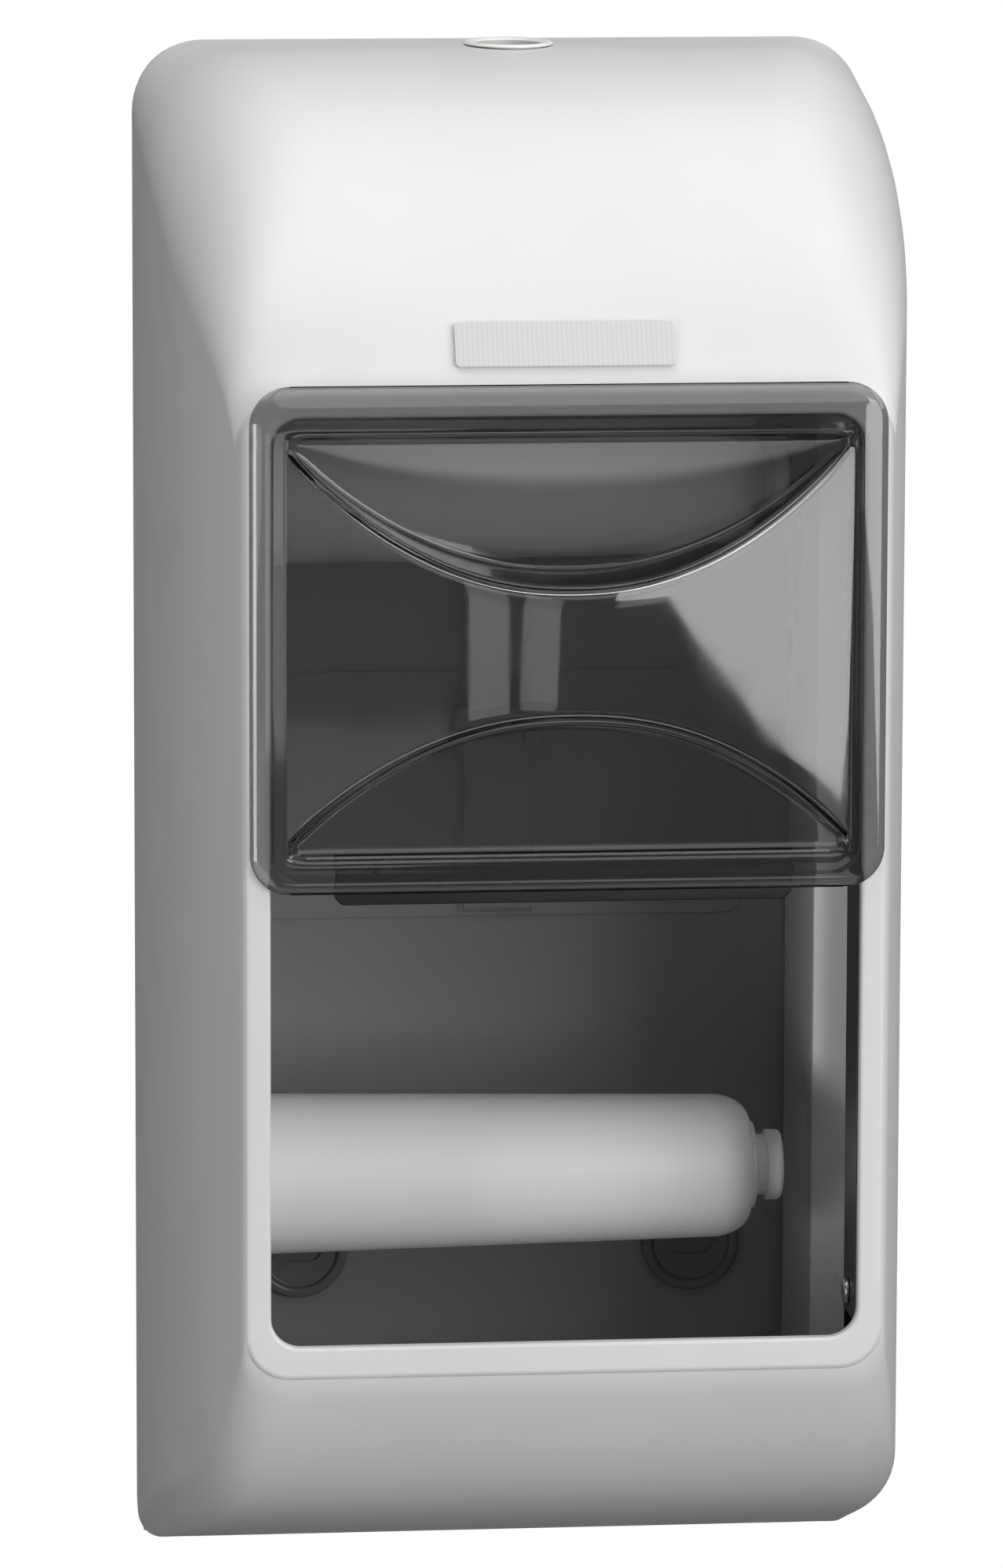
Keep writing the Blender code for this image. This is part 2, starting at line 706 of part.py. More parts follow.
def inner_stations():
    """Distances from the wall at which the inner face is sliced, front to rear."""
    face = CASE_DEPTH - COVER_WALL
    run = face - HINGE_OUT
    even = [face - run * (1 - math.cos(n / INNER_SLICES * math.pi / 2)) for n in range(INNER_SLICES)]
    radius = HINGE_UP - COVER_WALL
    hinge_turns = [HINGE_OUT - radius * math.sin(math.radians(angle)) for angle in (0, 28, 52, 72, 90)]
    return even + hinge_turns + [COVER_REAR_OUT]


def make_cover():
    """White shell: lofted slices, the frame round the window, and back along the inner face."""
    rings = [[(x, out, z) for x, z in cover_slice(out)] for out in cover_stations()]
    window = rounded_box(WINDOW_WIDTH / 2, WINDOW_BOTTOM, WINDOW_TOP, WINDOW_CORNER, WINDOW_CORNER)
    rings.append([(x, CASE_DEPTH, z) for x, z in window])
    rings.append([(x, CASE_DEPTH - COVER_WALL, z) for x, z in window])
    rings += [[(x, out, z) for x, z in inner_slice(out)] for out in inner_stations()]
    build = bmesh.new()
    loops = [[build.verts.new(case_point(*point)) for point in ring] for ring in rings]
    count = len(loops[0])
    for near, far in zip(loops, loops[1:] + loops[:1]):
        for n in range(count):
            after = (n + 1) % count
            build.faces.new((near[n], near[after], far[after], far[n]))
    bmesh.ops.recalc_face_normals(build, faces=build.faces)
    cover = add_object("cover", mesh_from("cover", build), WHITE_ABS)
    cover.data.shade_smooth()
    cover.data.set_sharp_from_angle(angle=math.radians(35))
    edges = cover.modifiers.new("edges", "BEVEL")
    edges.width = EDGE_ROUND
    edges.segments = 2
    edges.limit_method = "ANGLE"
    edges.angle_limit = math.radians(50)
    fit_out_cover(cover)
    return cover


def fit_out_cover(cover):
    """Key window, hinge bosses and notches, rail bosses and blind screw holes."""
    for side in (-1, 1):
        boss = bar(
            "hinge_boss",
            (side * (KNUCKLE_INNER + KNUCKLE_WIDTH + RUNNING_GAP), HINGE_OUT, HINGE_UP),
            (side * (HALF_WIDTH - COVER_WALL / 2), HINGE_OUT, HINGE_UP),
            COVER_BOSS_RADIUS,
            helper=True,
        )
        join(cover, boss)
        notch = block(
            "hinge_notch",
            (side * (KNUCKLE_INNER - RUNNING_GAP), -CUT_OVERRUN, -CUT_OVERRUN),
            (side * (KNUCKLE_INNER + KNUCKLE_WIDTH + RUNNING_GAP), NOTCH_REACH, NOTCH_HEIGHT),
            helper=True,
        )
        hole = bar(
            "hinge_hole",
            (side * HINGE_PIN_START, HINGE_OUT, HINGE_UP),
            (side * (HINGE_PIN_START + HINGE_PIN_LENGTH + TOUCH_GAP), HINGE_OUT, HINGE_UP),
            HINGE_PIN_RADIUS + HINGE_PIN_HOLE_GAP,
            helper=True,
        )
        cut(cover, notch, hole)
        for up in (RAIL_SCREW_LOW_UP, RAIL_SCREW_HIGH_UP):
            post = bar(
                "rail_boss",
                (side * (RAIL_OUTER + TOUCH_GAP), RAIL_SCREW_OUT, up),
                (side * (flank(RAIL_SCREW_OUT) - COVER_WALL / 2), RAIL_SCREW_OUT, up),
                RAIL_BOSS_RADIUS,
                helper=True,
            )
            join(cover, post)
            bore = bar(
                "rail_screw_hole",
                (side * RAIL_INNER, RAIL_SCREW_OUT, up),
                (side * (RAIL_INNER + RAIL_SCREW_LENGTH + TOUCH_GAP), RAIL_SCREW_OUT, up),
                RAIL_SCREW_RADIUS + TOUCH_GAP,
                16,
                helper=True,
            )
            cut(cover, bore)
        blind = bar(
            "keeper_screw_hole",
            (side * KEEPER_SCREW_SPACING / 2, KEEPER_SCREW_OUT, keeper_top()),
            (side * KEEPER_SCREW_SPACING / 2, KEEPER_SCREW_OUT, keeper_screw_top() + TOUCH_GAP),
            KEEPER_SCREW_RADIUS + TOUCH_GAP,
            16,
            helper=True,
        )
        cut(cover, blind)
    add_guard_bosses(cover)
    key_window = slab(
        "key_window_cut",
        [ellipse(KEY_WINDOW_WIDTH, KEY_WINDOW_LENGTH)],
        2 * (COVER_WALL + CUT_OVERRUN),
        facing_up(KEY_WINDOW_OUT, CASE_HEIGHT),
        helper=True,
    )
    cut(cover, key_window)


def make_badge(cover_pivot):
    """Bare plate bedded on the brow, tilted as the brow is there."""
    out = brow_out(BADGE_MIDDLE_UP)
    tilt = brow_tilt(BADGE_MIDDLE_UP)
    outline = rounded_box(BADGE_WIDTH / 2, -BADGE_HEIGHT / 2, BADGE_HEIGHT / 2, EDGE_ROUND, EDGE_ROUND, 3)
    standoff = BADGE_THICKNESS / 2 + TOUCH_GAP
    place = (
        Matrix.Translation(case_point(0, out, BADGE_MIDDLE_UP))
        @ Matrix.Rotation(tilt, 4, "X")
        @ Matrix.Translation((0, -standoff, 0))
        @ Matrix.Rotation(math.radians(90), 4, "X")
    )
    badge = slab("badge_plate", [outline], BADGE_THICKNESS, place, PLATE_GREY)
    carry(cover_pivot, badge)


def brow_out(up):
    """Distance from the wall of the brow at a height."""
    rise = (up - CASE_HEIGHT + ROOF_DROP) / ROOF_DROP
    return ROOF_FLAT + ROOF_REACH * math.sqrt(1 - rise * rise)


def brow_tilt(up):
    """Lean of the brow back from the upright at a height."""
    rise = (up - CASE_HEIGHT + ROOF_DROP) / ROOF_DROP
    slope = (ROOF_REACH / ROOF_DROP) * rise / math.sqrt(1 - rise * rise)
    return -math.atan(slope)


def make_escutcheon(cover_pivot):
    """Oval ring that lines the key window, with a lip on the roof."""
    outer = ellipse(KEY_WINDOW_WIDTH - 2 * TOUCH_GAP, KEY_WINDOW_LENGTH - 2 * TOUCH_GAP)
    inner_width = KEY_WINDOW_WIDTH - 2 * ESCUTCHEON_WALL
    inner_length = KEY_WINDOW_LENGTH - 2 * ESCUTCHEON_WALL
    inner = ellipse(inner_width, inner_length)
    sleeve_middle = CASE_HEIGHT + ESCUTCHEON_RISE - ESCUTCHEON_DEPTH / 2
    ring = slab(
        "lock_escutcheon",
        [outer, inner],
        ESCUTCHEON_DEPTH,
        facing_up(KEY_WINDOW_OUT, sleeve_middle),
        STEEL,
    )
    lip_outer = ellipse(KEY_WINDOW_WIDTH + 2 * ESCUTCHEON_LIP, KEY_WINDOW_LENGTH + 2 * ESCUTCHEON_LIP)
    lip_inner = ellipse(inner_width + ESCUTCHEON_RISE, inner_length + ESCUTCHEON_RISE)
    lip_base = CASE_HEIGHT + TOUCH_GAP
    lip = slab(
        "escutcheon_lip",
        [lip_outer, lip_inner],
        ESCUTCHEON_RISE + TOUCH_GAP,
        facing_up(KEY_WINDOW_OUT, lip_base + (ESCUTCHEON_RISE + TOUCH_GAP) / 2),
        helper=True,
    )
    join(ring, lip)
    carry(cover_pivot, ring)


def keeper_top():
    """Height of the keeper's upper face, just under the roof."""
    return CASE_HEIGHT - COVER_WALL - TOUCH_GAP


def keeper_screw_top():
    """Height of the keeper screws' tips in the roof."""
    return CASE_HEIGHT - COVER_WALL + KEEPER_SCREW_DEPTH


def make_keeper(cover_pivot):
    """Bent plate under the roof, and its two screws."""
    top = keeper_top()
    leg_front = HOOK_REAR_OUT - TOUCH_GAP
    keeper = block(
        "latch_keeper",
        (-KEEPER_FLANGE_WIDTH / 2, KEEPER_FLANGE_REAR, top - KEEPER_THICKNESS),
        (KEEPER_FLANGE_WIDTH / 2, leg_front, top),
        STEEL,
    )
    leg = block(
        "keeper_leg",
        (-KEEPER_LEG_WIDTH / 2, leg_front - KEEPER_THICKNESS, KEEPER_LEG_BOTTOM),
        (KEEPER_LEG_WIDTH / 2, leg_front, top - KEEPER_THICKNESS + JOIN_OVERLAP),
        helper=True,
    )
    join(keeper, leg)
    carry(cover_pivot, keeper)
    for side, hand in ((-1, "left"), (1, "right")):
        across = side * KEEPER_SCREW_SPACING / 2
        hole = bar(
            "keeper_hole",
            (across, KEEPER_SCREW_OUT, top - KEEPER_THICKNESS - CUT_OVERRUN),
            (across, KEEPER_SCREW_OUT, top + CUT_OVERRUN),
            KEEPER_SCREW_RADIUS + TOUCH_GAP,
            16,
            helper=True,
        )
        cut(keeper, hole)
        under = top - KEEPER_THICKNESS - TOUCH_GAP
        profile = (
            (0, keeper_screw_top()),
            (KEEPER_SCREW_RADIUS, keeper_screw_top()),
            (KEEPER_SCREW_RADIUS, under),
            (KEEPER_HEAD_RADIUS, under),
            (KEEPER_HEAD_RADIUS, under - KEEPER_HEAD_THICKNESS),
            (0, under - KEEPER_HEAD_THICKNESS),
        )
        screw = turned("keeper_screw_" + hand, profile, 16, STEEL, closed=False)
        screw.location = case_point(across, KEEPER_SCREW_OUT, 0)
        carry(cover_pivot, screw)


def make_rails(cover_pivot):
    """Guide rails behind the window's side edges, each with two screws."""
    front = CASE_DEPTH - COVER_WALL - TOUCH_GAP
    for side, hand in ((-1, "left"), (1, "right")):
        rail = block(
            "rail_" + hand,
            (side * RAIL_INNER, RAIL_REAR_OUT, RAIL_BOTTOM),
            (side * RAIL_OUTER, RAIL_SHOULDER_OUT, RAIL_TOP),
            BLACK_PLASTIC,
        )
        track = block(
            "rail_track",
            (side * RAIL_TRACK_INNER, RAIL_SHOULDER_OUT - JOIN_OVERLAP, RAIL_BOTTOM),
            (side * RAIL_OUTER, front, RAIL_TOP),
            helper=True,
        )
        join(rail, track)
        carry(cover_pivot, rail)
        for up, level in ((RAIL_SCREW_LOW_UP, "lower"), (RAIL_SCREW_HIGH_UP, "upper")):
            hole = bar(
                "rail_hole",
                (side * (RAIL_INNER - CUT_OVERRUN), RAIL_SCREW_OUT, up),
                (side * (RAIL_OUTER + CUT_OVERRUN), RAIL_SCREW_OUT, up),
                RAIL_SCREW_RADIUS + TOUCH_GAP,
                16,
                helper=True,
            )
            cut(rail, hole)
            head = RAIL_INNER - TOUCH_GAP
            profile = (
                (0, RAIL_INNER + RAIL_SCREW_LENGTH),
                (RAIL_SCREW_RADIUS, RAIL_INNER + RAIL_SCREW_LENGTH),
                (RAIL_SCREW_RADIUS, head),
                (RAIL_HEAD_RADIUS, head),
                (RAIL_HEAD_RADIUS, head - RAIL_HEAD_THICKNESS),
                (0, head - RAIL_HEAD_THICKNESS),
            )
            screw = turned("rail_screw_%s_%s" % (hand, level), profile, 16, STEEL, closed=False)
            screw.rotation_euler = (0, side * math.radians(90), 0)
            screw.location = case_point(0, RAIL_SCREW_OUT, up)
            carry(cover_pivot, screw)


# Shutter


def rim_half_width(up):
    """Half width of the shutter's outline at a height, round at its corners."""
    inner = SHUTTER_WIDTH / 2 - SHUTTER_CORNER
    above = up - (SHUTTER_TOP - SHUTTER_CORNER)
    below = SHUTTER_BOTTOM + SHUTTER_CORNER - up
    past = max(above, below, 0.0)
    return inner + math.sqrt(max(0.0, SHUTTER_CORNER ** 2 - past ** 2))


def arch(across):
    """1 in the middle of the panel, falling to 0 at its side edges."""
    return max(0.0, 1 - abs(across / PANEL_HALF_WIDTH) ** ARC_POWER)


def waist_out(across):
    """Distance from the wall of the shutter's bulging waist."""
    return SHUTTER_FRONT_OUT + WAIST_BULGE * max(0.0, 1 - (across / PANEL_HALF_WIDTH) ** 2)


def scoop_out(across, share):
    """Distance from the wall of a finger scoop, from its outer edge to its ledge."""
    return SHUTTER_FRONT_OUT - PANEL_STEP - SCOOP_RECESS * share * arch(across)


def shutter_column(across, shift, setback):
    """Heights and depths of one column of the shutter's surface, top to bottom."""
    chamfer = SHUTTER_EDGE_CHAMFER if setback == 0 else 0.0
    rim = SHUTTER_FRONT_OUT - setback
    top = SHUTTER_TOP
    bottom = SHUTTER_BOTTOM
    panel_top = top - PANEL_TOP_DROP
    panel_bottom = bottom + PANEL_BOTTOM_RISE
    column = [(top, rim - chamfer), (top - SHUTTER_EDGE_CHAMFER, rim)]
    column += [(top - share * PANEL_TOP_DROP, rim) for share in UPPER_RIM_SHARES]
    column.append((panel_top, rim))
    if abs(across) >= PANEL_HALF_WIDTH:
        inner_depths = [rim] * 19
    else:
        scoop = [scoop_out(across, n / 4) - setback for n in range(5)]
        waist = [waist_out(across) - setback] * 9
        inner_depths = scoop + waist + scoop[::-1]
    scoop_top = panel_top - PANEL_STEP_RUN
    scoop_bottom = panel_bottom + PANEL_STEP_RUN
    room = PANEL_STEP_RUN / 2
    upper_arc = scoop_top - room - UPPER_ARC_DROP * arch(across) - shift
    lower_arc = scoop_bottom + room + LOWER_ARC_RISE * arch(across) + shift
    ledge = LEDGE_RUN * arch(across) + PANEL_STEP_RUN * LEDGE_END_SHARE
    heights = [scoop_top + (upper_arc - scoop_top) * n / 4 for n in range(5)]
    upper_waist = upper_arc - ledge
    lower_waist = lower_arc + ledge
    heights += [upper_waist + (lower_waist - upper_waist) * n / 8 for n in range(9)]
    heights += [lower_arc + (scoop_bottom - lower_arc) * n / 4 for n in range(5)]
    column += list(zip(heights, inner_depths))
    column.append((panel_bottom, rim))
    column += [(bottom + share * PANEL_BOTTOM_RISE, rim) for share in LOWER_RIM_SHARES]
    column += [(bottom + SHUTTER_EDGE_CHAMFER, rim), (bottom, rim - chamfer)]
    return column


def shutter_grid(build, shift, setback):
    """Rows of vertices of one face of the shutter's shell."""
    half = SHUTTER_WIDTH / 2
    steps = [2 * n / PANEL_COLUMNS - 1 for n in range(PANEL_COLUMNS + 1)]
    inner = []
    for step in steps:
        share = COLUMN_EDGE_SHARE * math.sin(step * math.pi / 2) + (1 - COLUMN_EDGE_SHARE) * step
        inner.append(PANEL_HALF_WIDTH * share)
    places = [-half, -half + SHUTTER_EDGE_CHAMFER, (-half - PANEL_HALF_WIDTH) / 2]
    places += inner
    places += [(half + PANEL_HALF_WIDTH) / 2, half - SHUTTER_EDGE_CHAMFER, half]
    grid = []
    for n, across in enumerate(places):
        edge = n in (0, len(places) - 1)
        column = []
        for up, out in shutter_column(across, shift, setback):
            if edge and setback == 0:
                out = SHUTTER_FRONT_OUT - SHUTTER_EDGE_CHAMFER
            squeezed = across * rim_half_width(up) / half
            column.append(build.verts.new(case_point(squeezed, out, up)))
        grid.append(column)
    return grid


def make_shutter(shutter_pivot):
    """Smoked shell with two scoops, a skirt that runs in the window, and feet behind the frame."""
    build = bmesh.new()
    front = shutter_grid(build, 0.0, 0.0)
    rear = shutter_grid(build, SHUTTER_WALL * REAR_LEDGE_SHARE, SHUTTER_WALL)
    rows = len(front[0])
    columns = len(front)
    for n in range(columns - 1):
        for m in range(rows - 1):
            build.faces.new((front[n][m], front[n][m + 1], front[n + 1][m + 1], front[n + 1][m]))
            build.faces.new((rear[n][m], rear[n + 1][m], rear[n + 1][m + 1], rear[n][m + 1]))
    for n in range(columns - 1):
        build.faces.new((front[n][0], front[n + 1][0], rear[n + 1][0], rear[n][0]))
        build.faces.new((front[n][-1], rear[n][-1], rear[n + 1][-1], front[n + 1][-1]))
    for m in range(rows - 1):
        build.faces.new((front[0][m], rear[0][m], rear[0][m + 1], front[0][m + 1]))
        build.faces.new((front[-1][m], front[-1][m + 1], rear[-1][m + 1], rear[-1][m]))
    bmesh.ops.recalc_face_normals(build, faces=build.faces)
    shutter = add_object("shutter", mesh_from("shutter", build), SMOKED_CLEAR)
    shutter.data.shade_smooth()
    shutter.data.set_sharp_from_angle(angle=math.radians(30))
    skirt_front = SHUTTER_FRONT_OUT - SHUTTER_WALL + JOIN_OVERLAP
    skirt_depth = skirt_front - SKIRT_REAR_OUT
    outer = rounded_box(SKIRT_WIDTH / 2, SKIRT_BOTTOM, SKIRT_TOP, SKIRT_CORNER, SKIRT_CORNER, 4)
    inner = rounded_box(
        SKIRT_WIDTH / 2 - SKIRT_WALL,
        SKIRT_BOTTOM + SKIRT_WALL,
        SKIRT_TOP - SKIRT_WALL,
        SKIRT_CORNER - SKIRT_WALL,
        SKIRT_CORNER - SKIRT_WALL,
        4,
    )
    skirt_place = facing_front(SKIRT_REAR_OUT + skirt_depth / 2, 0)
    skirt = slab("skirt", [outer, inner], skirt_depth, skirt_place, helper=True)
    join(shutter, skirt)
    foot_rear = RAIL_SHOULDER_OUT + 2 * TOUCH_GAP + SHOE_THICKNESS
    for side in (-1, 1):
        foot = block(
            "foot",
            (side * (SKIRT_WIDTH / 2 - JOIN_OVERLAP), foot_rear, SKIRT_BOTTOM + FOOT_END_INSET),
            (side * FOOT_REACH, foot_rear + FOOT_THICKNESS, SKIRT_TOP - FOOT_END_INSET),
            helper=True,
        )
        join(shutter, foot)
        pin_hole = bar(
            "grip_pin_hole",
            (side * GRIP_PIN_SPACING / 2, SKIRT_REAR_OUT - CUT_OVERRUN, GRIP_PIN_UP),
            (side * GRIP_PIN_SPACING / 2, SKIRT_REAR_OUT + GRIP_PIN_BITE + TOUCH_GAP, GRIP_PIN_UP),
            GRIP_PIN_RADIUS + TOUCH_GAP,
            12,
            helper=True,
        )
        cut(shutter, pin_hole)
    carry(shutter_pivot, shutter)


def make_grip_bar(shutter_pivot):
    """Black strip with chamfered ends behind the shutter's lower edge, and its two pins."""
    half = GRIP_WIDTH / 2
    rear_out = SKIRT_REAR_OUT - TOUCH_GAP - GRIP_THICKNESS
    outline = (
        (-half + GRIP_CHAMFER, 0),
        (half - GRIP_CHAMFER, 0),
        (half, GRIP_CHAMFER),
        (half, GRIP_HEIGHT),
        (-half, GRIP_HEIGHT),
        (-half, GRIP_CHAMFER),
    )
    grip = slab(
        "grip_bar",
        [outline],
        GRIP_THICKNESS,
        facing_front(rear_out + GRIP_THICKNESS / 2, GRIP_BOTTOM),
        BLACK_PLASTIC,
    )
    carry(shutter_pivot, grip)
    for side, hand in ((-1, "left"), (1, "right")):
        across = side * GRIP_PIN_SPACING / 2
        hole = bar(
            "grip_hole",
            (across, rear_out - CUT_OVERRUN, GRIP_PIN_UP),
            (across, SKIRT_REAR_OUT + CUT_OVERRUN, GRIP_PIN_UP),
            GRIP_PIN_RADIUS + TOUCH_GAP,
            12,
            helper=True,
        )
        cut(grip, hole)
        tip = SKIRT_REAR_OUT + GRIP_PIN_BITE
        head = rear_out - TOUCH_GAP
        profile = (
            (0, tip),
            (GRIP_PIN_RADIUS, tip),
            (GRIP_PIN_RADIUS, head),
            (GRIP_PIN_HEAD_RADIUS, head),
            (GRIP_PIN_HEAD_RADIUS, head - GRIP_PIN_HEAD_THICKNESS),
            (0, head - GRIP_PIN_HEAD_THICKNESS),
        )
        pin = turned("grip_pin_" + hand, profile, 12, STEEL, closed=False)
        pin.rotation_euler = (math.radians(90), 0, 0)
        pin.location = case_point(across, 0, GRIP_PIN_UP)
        carry(shutter_pivot, pin)


def make_shoes(shutter_pivot):
    """Rubber shoes between the shutter's feet and the rails' shoulders."""
    rear = RAIL_SHOULDER_OUT + TOUCH_GAP
    bottom = SHOE_MIDDLE_UP - SHOE_LENGTH / 2
    for side, hand in ((-1, "left"), (1, "right")):
        shoe = block(
            "shutter_shoe_" + hand,
            (side * (FOOT_REACH - SHOE_WIDTH), rear, bottom),
            (side * FOOT_REACH, rear + SHOE_THICKNESS, bottom + SHOE_LENGTH),
            RUBBER,
        )
        carry(shutter_pivot, shoe)


# Fixed frame


def make_back_plate():
    """Plate, left cheek, hinge knuckles and latch guides, one moulding."""
    outline = rounded_box(
        HALF_WIDTH - PLATE_EDGE_INSET,
        PLATE_EDGE_INSET,
        CASE_HEIGHT - PLATE_EDGE_INSET,
        CORNER_FLOOR_REAR - PLATE_EDGE_INSET,
        CORNER_TOP_REAR - PLATE_EDGE_INSET,
    )
    plate_place = facing_front(PLATE_THICKNESS / 2, 0)
    plate = slab("back_plate", [outline], PLATE_THICKNESS, plate_place, GREY_BACK)
    panel_outline = rounded_box(
        MID_PANEL_WIDTH / 2, MID_PANEL_LOW, MID_PANEL_HIGH, MID_PANEL_CORNER, MID_PANEL_CORNER, 4
    )
    panel_depth = MID_PANEL_RISE + JOIN_OVERLAP
    panel_middle = PLATE_THICKNESS - JOIN_OVERLAP + panel_depth / 2
    panel_place = facing_front(panel_middle, 0)
    join(plate, slab("mid_panel", [panel_outline], panel_depth, panel_place, helper=True))
    join(plate, make_cheek())
    for side in (-1, 1):
        join(plate, make_knuckle(side))
        knuckle_bore = bar(
            "knuckle_bore",
            (side * (KNUCKLE_INNER - CUT_OVERRUN), HINGE_OUT, HINGE_UP),
            (side * (KNUCKLE_INNER + KNUCKLE_WIDTH + CUT_OVERRUN), HINGE_OUT, HINGE_UP),
            HINGE_PIN_RADIUS + HINGE_PIN_HOLE_GAP,
            helper=True,
        )
        cut(plate, knuckle_bore)
        for up in (LOWER_SCREW_UP, UPPER_SCREW_UP):
            hole = bar(
                "wall_screw_hole",
                (side * SCREW_SPACING / 2, -CUT_OVERRUN, up),
                (side * SCREW_SPACING / 2, PLATE_THICKNESS + CUT_OVERRUN, up),
                PLATE_HOLE_RADIUS,
                20,
                helper=True,
            )
            cut(plate, hole)
    for up in (LOWER_SPINDLE_UP, UPPER_SPINDLE_UP):
        bore = bar(
            "axle_bore",
            (-CHEEK_INNER_REAR - CUT_OVERRUN, SPINDLE_OUT, up),
            (-CHEEK_INNER_FRONT + CUT_OVERRUN, SPINDLE_OUT, up),
            AXLE_RADIUS + TOUCH_GAP,
            helper=True,
        )
        cut(plate, bore)
    join(plate, *make_guides())


def make_cheek():
    """Left side wall of the back plate, drafted so that its front edge stands nearer the middle."""
    outline = (
        (0, CHEEK_BOTTOM),
        (CHEEK_SHOULDER_OUT, CHEEK_LOW_SHOULDER_UP),
        (CHEEK_REACH, CHEEK_FRONT_BOTTOM),
        (CHEEK_REACH, CHEEK_FRONT_TOP),
        (CHEEK_SHOULDER_OUT, CHEEK_HIGH_SHOULDER_UP),
        (0, CHEEK_TOP),
    )
    rear = PLATE_THICKNESS - JOIN_OVERLAP
    points = [(max(out, rear), up) for out, up in outline]
    lean = math.atan((CHEEK_INNER_REAR - CHEEK_INNER_FRONT) / CHEEK_REACH)
    middle = CHEEK_INNER_REAR + CHEEK_THICKNESS / 2
    place = (
        Matrix.Translation(case_point(-middle, 0, 0))
        @ Matrix.Rotation(lean, 4, "Z")
        @ Matrix.Translation(-case_point(0, 0, 0))
        @ facing_side(0)
    )
    return slab("cheek", [points], CHEEK_THICKNESS, place, helper=True)


def guard_section():
    """Section of the guard seen from above: a side wall with a rounded bend into a front flange."""
    rear = cheek_face(GUARD_REAR_OUT)
    front = cheek_face(GUARD_REACH)
    hub = (front + GUARD_BEND_RADIUS, GUARD_REACH - GUARD_BEND_RADIUS)
    steps = 6
    points = [(rear, -GUARD_REAR_OUT)]
    for step in range(steps + 1):
        angle = math.radians(90 * step / steps)
        points.append(
            (hub[0] - GUARD_BEND_RADIUS * math.cos(angle), -hub[1] - GUARD_BEND_RADIUS * math.sin(angle))
        )
    crown = []
    for step in range(1, GUARD_FLANGE_STEPS + 1):
        share = step / GUARD_FLANGE_STEPS
        across = hub[0] + (GUARD_FLANGE_EDGE - hub[0]) * share
        crown.append((across, -GUARD_REACH + GUARD_FLANGE_FALL * share * share))
    points += crown
    points += [(across, depth + CHEEK_THICKNESS) for across, depth in reversed(crown)]
    inner_radius = GUARD_BEND_RADIUS - CHEEK_THICKNESS
    for step in range(steps, -1, -1):
        angle = math.radians(90 * step / steps)
        points.append((hub[0] - inner_radius * math.cos(angle), -hub[1] - inner_radius * math.sin(angle)))
    points.append((rear + CHEEK_THICKNESS, -GUARD_REAR_OUT))
    return points


def make_guard(cover_pivot):
    """Dark flanged panel on the cover's right that keeps the rolls on their spindles, and its screws."""
    height = GUARD_TOP - GUARD_BOTTOM
    place = facing_up(0, GUARD_BOTTOM + height / 2)
    guard = slab("roll_guard", [guard_section()], height, place, GREY_BACK)
    inner = cheek_face(GUARD_SCREW_OUT + GUARD_HEAD_RADIUS) - TOUCH_GAP
    outer = cheek_face(GUARD_SCREW_OUT) + CHEEK_THICKNESS
    for up, level in ((GUARD_SCREW_LOW_UP, "lower"), (GUARD_SCREW_HIGH_UP, "upper")):
        hole = bar(
            "guard_hole",
            (inner - CUT_OVERRUN, GUARD_SCREW_OUT, up),
            (outer + CUT_OVERRUN, GUARD_SCREW_OUT, up),
            GUARD_SCREW_RADIUS + TOUCH_GAP,
            16,
            helper=True,
        )
        cut(guard, hole)
        profile = (
            (0, inner + GUARD_SCREW_LENGTH),
            (GUARD_SCREW_RADIUS, inner + GUARD_SCREW_LENGTH),
            (GUARD_SCREW_RADIUS, inner),
            (GUARD_HEAD_RADIUS, inner),
            (GUARD_HEAD_RADIUS, inner - GUARD_HEAD_THICKNESS),
            (0, inner - GUARD_HEAD_THICKNESS),
        )
        screw = turned("guard_screw_" + level, profile, 16, STEEL, closed=False)
        lay_across(screw, 0, GUARD_SCREW_OUT, up)
        carry(cover_pivot, screw)
    carry(cover_pivot, guard)


def add_guard_bosses(cover):
    """Two posts on the cover's right flank, bored for the guard's screws."""
    face = cheek_face(GUARD_SCREW_OUT - GUARD_BOSS_RADIUS) + CHEEK_THICKNESS + TOUCH_GAP
    tip = cheek_face(GUARD_SCREW_OUT + GUARD_HEAD_RADIUS) + GUARD_SCREW_LENGTH
    for up in (GUARD_SCREW_LOW_UP, GUARD_SCREW_HIGH_UP):
        post = bar(
            "guard_boss",
            (face, GUARD_SCREW_OUT, up),
            (flank(GUARD_SCREW_OUT) - COVER_WALL / 2, GUARD_SCREW_OUT, up),
            GUARD_BOSS_RADIUS,
            helper=True,
        )
        join(cover, post)
        bore = bar(
            "guard_screw_bore",
            (face - CUT_OVERRUN, GUARD_SCREW_OUT, up),
            (tip, GUARD_SCREW_OUT, up),
            GUARD_SCREW_RADIUS + TOUCH_GAP,
            16,
            helper=True,
        )
        cut(cover, bore)


def make_knuckle(side):
    """Hinge knuckle: a round end on the pin's axis, and the web that carries it."""
    inner = side * KNUCKLE_INNER
    outer = side * (KNUCKLE_INNER + KNUCKLE_WIDTH)
    start = (inner, HINGE_OUT, HINGE_UP)
    end = (outer, HINGE_OUT, HINGE_UP)
    barrel = bar("knuckle", start, end, KNUCKLE_RADIUS, helper=True)
    web_half = KNUCKLE_RADIUS * WEB_HALF_SHARE
    web = block(
        "knuckle_web",
        (inner, PLATE_THICKNESS - JOIN_OVERLAP, HINGE_UP - web_half),
        (outer, HINGE_OUT - HINGE_PIN_RADIUS - JOIN_OVERLAP, HINGE_UP + web_half),
        helper=True,
    )
    join(web, barrel)
    return web


